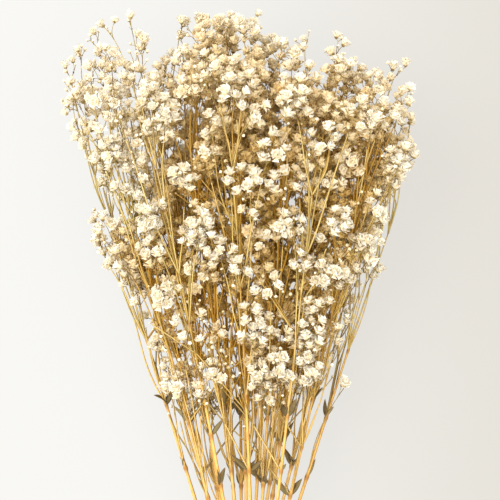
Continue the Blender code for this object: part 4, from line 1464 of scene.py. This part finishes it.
def floor_material(look, mottling):
    """A matte pale surface with a barely visible unevenness, which glows of its own; the glow turns darker and
    warmer towards +X, a painted shadow on the side away from the key light.
    """
    material, tree, shader = new_material("pale_floor", 0.9, 0.1)
    spots = use_group(
        tree,
        mottling,
        Color=full(look.floor),
        Blotch=full([0.985 * part for part in look.floor]),
        Scale=3.0,
        Amount=0.5,
        Grain=900.0,
    )
    tree.links.new(spots.outputs["Color"], shader.inputs["Base Color"])
    # Painted shadow: the floor's glow fades from the lit colour to a darker, warmer one from x = -0.1 m to x = 0.24
    # m.
    place = add_node(tree, "ShaderNodeTexCoord").outputs["Object"]
    across = add_node(tree, "ShaderNodeSeparateXYZ", {0: place})
    slant = add_node(tree, "ShaderNodeMath", {0: across.outputs[0], 1: 1.6, 2: 0.22}, operation="MULTIPLY_ADD")
    shade_share = remap(tree, slant.outputs[0], 0.05, 0.60, 0.0, 1.0, True)
    tree.links.new(mix_colours(tree, shade_share, look.floor_light, look.floor_shaded_glow), shader.inputs["Emission Color"])
    shader.inputs["Emission Strength"].default_value = look.floor_glow
    return material


# The stage


def aim(thing, target):
    """Turns a light so that it shines at a place."""
    away = Vector(thing.location) - Vector(target)
    thing.rotation_euler = away.to_track_quat("Z", "Y").to_euler()


def add_light(name, place, target, size, power, colour):
    lamp = bpy.data.lights.new(name, "AREA")
    lamp.shape = "DISK"
    lamp.size = size
    lamp.energy = power
    lamp.color = colour
    made = bpy.data.objects.new(name, lamp)
    made.location = place
    aim(made, target)
    bpy.context.scene.collection.objects.link(made)


def make_floor(material):
    """A level disc under the bunch: (r cos a, r sin a, 0) on a grid of radii and angles."""
    columns, radii = 64, np.array((0.5, 1.5, 4.0, 9.0))
    turn = 2 * math.pi * np.arange(columns) / columns
    rings = radii[:, None, None] * np.stack((np.cos(turn), np.sin(turn), 0 * turn), -1)
    vertices = np.concatenate(([[0.0, 0, 0]], rings.reshape(-1, 3))) + np.array((0, 0.2, 0))
    c = np.arange(columns)
    n = (c + 1) % columns
    faces = [(0, 1 + a, 1 + b) for a, b in zip(c, n)]
    rows = 1 + columns * np.arange(len(radii) - 1)[:, None]
    quads = np.stack((rows + c, rows + columns + c, rows + columns + n, rows + n), -1)
    faces += [tuple(map(int, quad)) for quad in quads.reshape(-1, 4)]
    mesh = bpy.data.meshes.new("floor")
    mesh.from_pydata(vertices.tolist(), [], [tuple(map(int, face)) for face in faces])
    mesh.materials.append(material)
    made = bpy.data.objects.new("floor", mesh)
    bpy.context.scene.collection.objects.link(made)


# Values a user would change


def colour_value(name, description, default):
    """A colour property."""
    return bpy.props.FloatVectorProperty(
        name=name, description=description, default=default, subtype="COLOR", size=3, min=0.0, max=1.0
    )


class GypsophilaBloomLook(bpy.types.PropertyGroup):
    ivory: colour_value("Ivory", "Tips of the freshest petals", (0.87, 0.852, 0.77))
    tan: colour_value("Tan", "Tips of the most faded petals", (0.86, 0.785, 0.635))
    # Painted shade: the fold colours stand for the shade in the creases between petals.
    fold: colour_value("Fold", "Deep between fresh petals", (0.86, 0.725, 0.46))
    old_fold_shade: colour_value("Old fold", "Deep between faded petals", (0.83, 0.70, 0.47))
    # Painted shade: the colour that blooms deep inside the head are tinted towards.
    inner: colour_value("Inner", "Blooms deep inside the head", (0.78, 0.52, 0.13))
    calyx: colour_value("Calyx", "The cup under the petals", (0.24, 0.15, 0.045))


class GypsophilaStemLook(bpy.types.PropertyGroup):
    ochre: colour_value("Ochre", "Stalks near the tie", (0.76, 0.46, 0.13))
    straw: colour_value("Straw", "Stalks where they fork", (0.63, 0.52, 0.18))
    old_straw: colour_value("Old straw", "Stalks at the top", (0.56, 0.46, 0.21))
    pale_straw: colour_value("Pale straw", "The palest stalks", (0.84, 0.66, 0.30))
    pedicel: colour_value("Pedicel", "The thin stalk of a bloom", (0.50, 0.41, 0.14))
    dark_twig: colour_value("Dark twig", "The darkest of the thin stalks", (0.15, 0.12, 0.06))
    # Painted shade: the colour that stalks deep inside the head are tinted towards.
    inner: colour_value("Inner", "Stalks deep inside the head", (0.58, 0.31, 0.035))
    # Painted shade: this tint darkens the side of each stalk that faces away from the key light, right and down.
    sheltered: colour_value("Sheltered side", "Tint of the side that isn't bleached", (0.50, 0.39, 0.13))
    joint: colour_value("Joint", "Swollen joints and dark fibres", (0.30, 0.13, 0.03))
    pith: colour_value("Pith", "Cut faces", (0.80, 0.68, 0.46))


class GypsophilaLeafLook(bpy.types.PropertyGroup):
    dark: colour_value("Dark", "Darkest leaves", (0.10, 0.066, 0.022))
    grey: colour_value("Grey", "Palest leaves", (0.27, 0.215, 0.088))
    tip: colour_value("Tip", "Withered tips", (0.22, 0.14, 0.06))


class GypsophilaTwineLook(bpy.types.PropertyGroup):
    fibre: colour_value("Fibre", "Outside of the strands", (0.50, 0.36, 0.20))
    shade: colour_value("Shade", "Between the strands", (0.20, 0.12, 0.05))


class GypsophilaStageLook(bpy.types.PropertyGroup):
    floor: colour_value("Floor", "The surface that the bunch lies on", (0.080, 0.080, 0.077))
    floor_light: colour_value("Lit floor", "Glow of the floor on the lit side", (1.0, 0.995, 0.968))
    # Painted shadow: the darker glow of the floor on the side away from the key light.
    floor_shaded_glow: colour_value("Warm floor", "Glow of the floor on the far side", (0.82, 0.785, 0.72))
    floor_glow: bpy.props.FloatProperty(
        name="Floor glow",
        description="Light that the pale surface gives of its own, which keeps its shadows soft",
        default=0.765,
        min=0.0,
    )
    camera_height: bpy.props.FloatProperty(
        name="Camera height",
        description="Height of the camera above the middle of the bunch",
        default=1.3,
        min=0.3,
        unit="LENGTH",
    )
    frame_width: bpy.props.FloatProperty(
        name="Frame width",
        description="Width of the picture at the middle of the bunch",
        default=0.350,
        min=0.05,
        unit="LENGTH",
    )


LOOKS = {
    "gypsophila_bloom_look": GypsophilaBloomLook,
    "gypsophila_stem_look": GypsophilaStemLook,
    "gypsophila_leaf_look": GypsophilaLeafLook,
    "gypsophila_twine_look": GypsophilaTwineLook,
    "gypsophila_stage_look": GypsophilaStageLook,
}


@lru_cache(maxsize=None)
def grown_bunch():
    """The stalks, the skeleton and the sprays, worked out once."""
    stalks, skeleton = grow_bunch()
    return stalks, skeleton, grow_sprays(stalks, skeleton)


@lru_cache(maxsize=None)
def shared_groups():
    return mottling_group(), streak_group()


def keep_piece(made, slot, *nodes):
    """Hands a piece to the frame: it rides on the bunch and stands for its solids."""
    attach(made, "root")
    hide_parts(*nodes)


def stem_name(stem):
    return f"stem_{stem + 1:02d}"


class GYPSOPHILA_OT_stalks(bpy.types.Operator):
    """Makes the stalk of every stem with its twigs and bloom stalks"""

    bl_idname = "gypsophila.stalks"
    bl_label = "Stalks"

    def execute(self, context):
        stalks, _, sprays = grown_bunch()
        material = stem_material(context.scene.gypsophila_stem_look, *shared_groups())
        for stem, (stalk, spray) in enumerate(zip(stalks, sprays)):
            builder = Builder()
            stalk_forms(builder, stem, stalk)
            tube_forms(builder, spray, stem)
            made = builder.make(f"{stem_name(stem)}_stalk", material, True)
            keep_piece(made, "dried_stem", stem_name(stem))
        return {"FINISHED"}


class GYPSOPHILA_OT_blooms(bpy.types.Operator):
    """Makes the blooms and buds of every stem"""

    bl_idname = "gypsophila.blooms"
    bl_label = "Blooms"

    def execute(self, context):
        _, _, sprays = grown_bunch()
        material = petal_material(context.scene.gypsophila_bloom_look, shared_groups()[0])
        for stem, spray in enumerate(sprays):
            builder = Builder()
            bloom_forms(builder, spray, stem)
            bud_forms(builder, spray, stem)
            made = builder.make(f"{stem_name(stem)}_blooms", material, False)
            keep_piece(made, "dried_bloom", stem_name(stem))
        return {"FINISHED"}


class GYPSOPHILA_OT_leaves(bpy.types.Operator):
    """Makes the leaves and bracts of every stem"""

    bl_idname = "gypsophila.leaves"
    bl_label = "Leaves"

    def execute(self, context):
        stalks, skeleton, sprays = grown_bunch()
        material = leaf_material(context.scene.gypsophila_leaf_look, *shared_groups())
        for stem, (stalk, spray) in enumerate(zip(stalks, sprays)):
            builder = Builder()
            leaf_pieces(builder, stem, skeleton, spray, stalk)
            made = builder.make(f"{stem_name(stem)}_leaves", material, True)
            keep_piece(made, "dried_leaf", stem_name(stem))
        return {"FINISHED"}


class GYPSOPHILA_OT_twine(bpy.types.Operator):
    """Winds and knots the twine"""

    bl_idname = "gypsophila.twine"
    bl_label = "Twine"

    def execute(self, context):
        builder = Builder()
        paths = [turns_path(), knot_path(), tail_path(1, 0.019), tail_path(-1, 0.014)]
        for path, radius, frayed in zip(paths, (1.0, 0.86, 0.9, 0.9), (False, False, True, True)):
            twine_forms(builder, path, radius * TWINE_RADIUS * 0.95, frayed)
        twine_hairs(builder, paths)
        material = twine_material(context.scene.gypsophila_twine_look, shared_groups()[0])
        made = builder.make("twine_tie_twine", material, True)
        keep_piece(made, "twine", "twine_tie")
        return {"FINISHED"}


class GYPSOPHILA_OT_stage(bpy.types.Operator):
    """Sets the floor, the lights and the camera"""

    bl_idname = "gypsophila.stage"
    bl_label = "Stage"

    def execute(self, context):
        look = context.scene.gypsophila_stage_look
        make_floor(floor_material(look, shared_groups()[0]))
        target = (0.0, 0.30, 0.03)
        add_light("key", (-0.85, 0.75, 1.45), target, 1.2, 24.0, (1.0, 0.99, 0.96))
        add_light("fill", (1.2, -0.2, 1.9), target, 1.6, 6.0, (1.0, 0.96, 0.90))
        world = bpy.data.worlds.new("soft_room")
        world.use_nodes = True
        backdrop = world.node_tree.nodes["Background"]
        backdrop.inputs["Color"].default_value = (1.0, 0.985, 0.96, 1)
        backdrop.inputs["Strength"].default_value = 1.52
        context.scene.world = world
        camera = bpy.data.cameras.new("photo_camera")
        camera.angle = 2 * math.atan(look.frame_width / 2 / look.camera_height)
        made = bpy.data.objects.new("photo_camera", camera)
        made.location = (0.0021, 0.301, 0.065 + look.camera_height)
        context.scene.collection.objects.link(made)
        context.scene.camera = made
        context.scene.view_settings.view_transform = "Standard"
        return {"FINISHED"}


class GYPSOPHILA_PT_bunch(bpy.types.Panel):
    """Lists the pieces of the bunch and their colours"""

    bl_idname = "GYPSOPHILA_PT_bunch"
    bl_label = "Gypsophila bunch"
    bl_space_type = "VIEW_3D"
    bl_region_type = "UI"
    bl_category = "Gypsophila"

    def draw(self, context):
        for operator in OPERATORS:
            self.layout.operator(operator.bl_idname)
        for name, look in LOOKS.items():
            box = self.layout.box()
            for field in look.__annotations__:
                box.prop(getattr(context.scene, name), field)


OPERATORS = (
    GYPSOPHILA_OT_stalks,
    GYPSOPHILA_OT_blooms,
    GYPSOPHILA_OT_leaves,
    GYPSOPHILA_OT_twine,
    GYPSOPHILA_OT_stage,
)


def register():
    for item in (*LOOKS.values(), *OPERATORS, GYPSOPHILA_PT_bunch):
        bpy.utils.register_class(item)
    for name, look in LOOKS.items():
        setattr(bpy.types.Scene, name, bpy.props.PointerProperty(type=look))


def unregister():
    for name in LOOKS:
        delattr(bpy.types.Scene, name)
    for item in (GYPSOPHILA_PT_bunch, *reversed(OPERATORS), *LOOKS.values()):
        bpy.utils.unregister_class(item)


def main():
    register()
    for name in ("stalks", "blooms", "leaves", "twine", "stage"):
        getattr(bpy.ops.gypsophila, name)()
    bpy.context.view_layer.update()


if __name__ == "__main__":
    main()
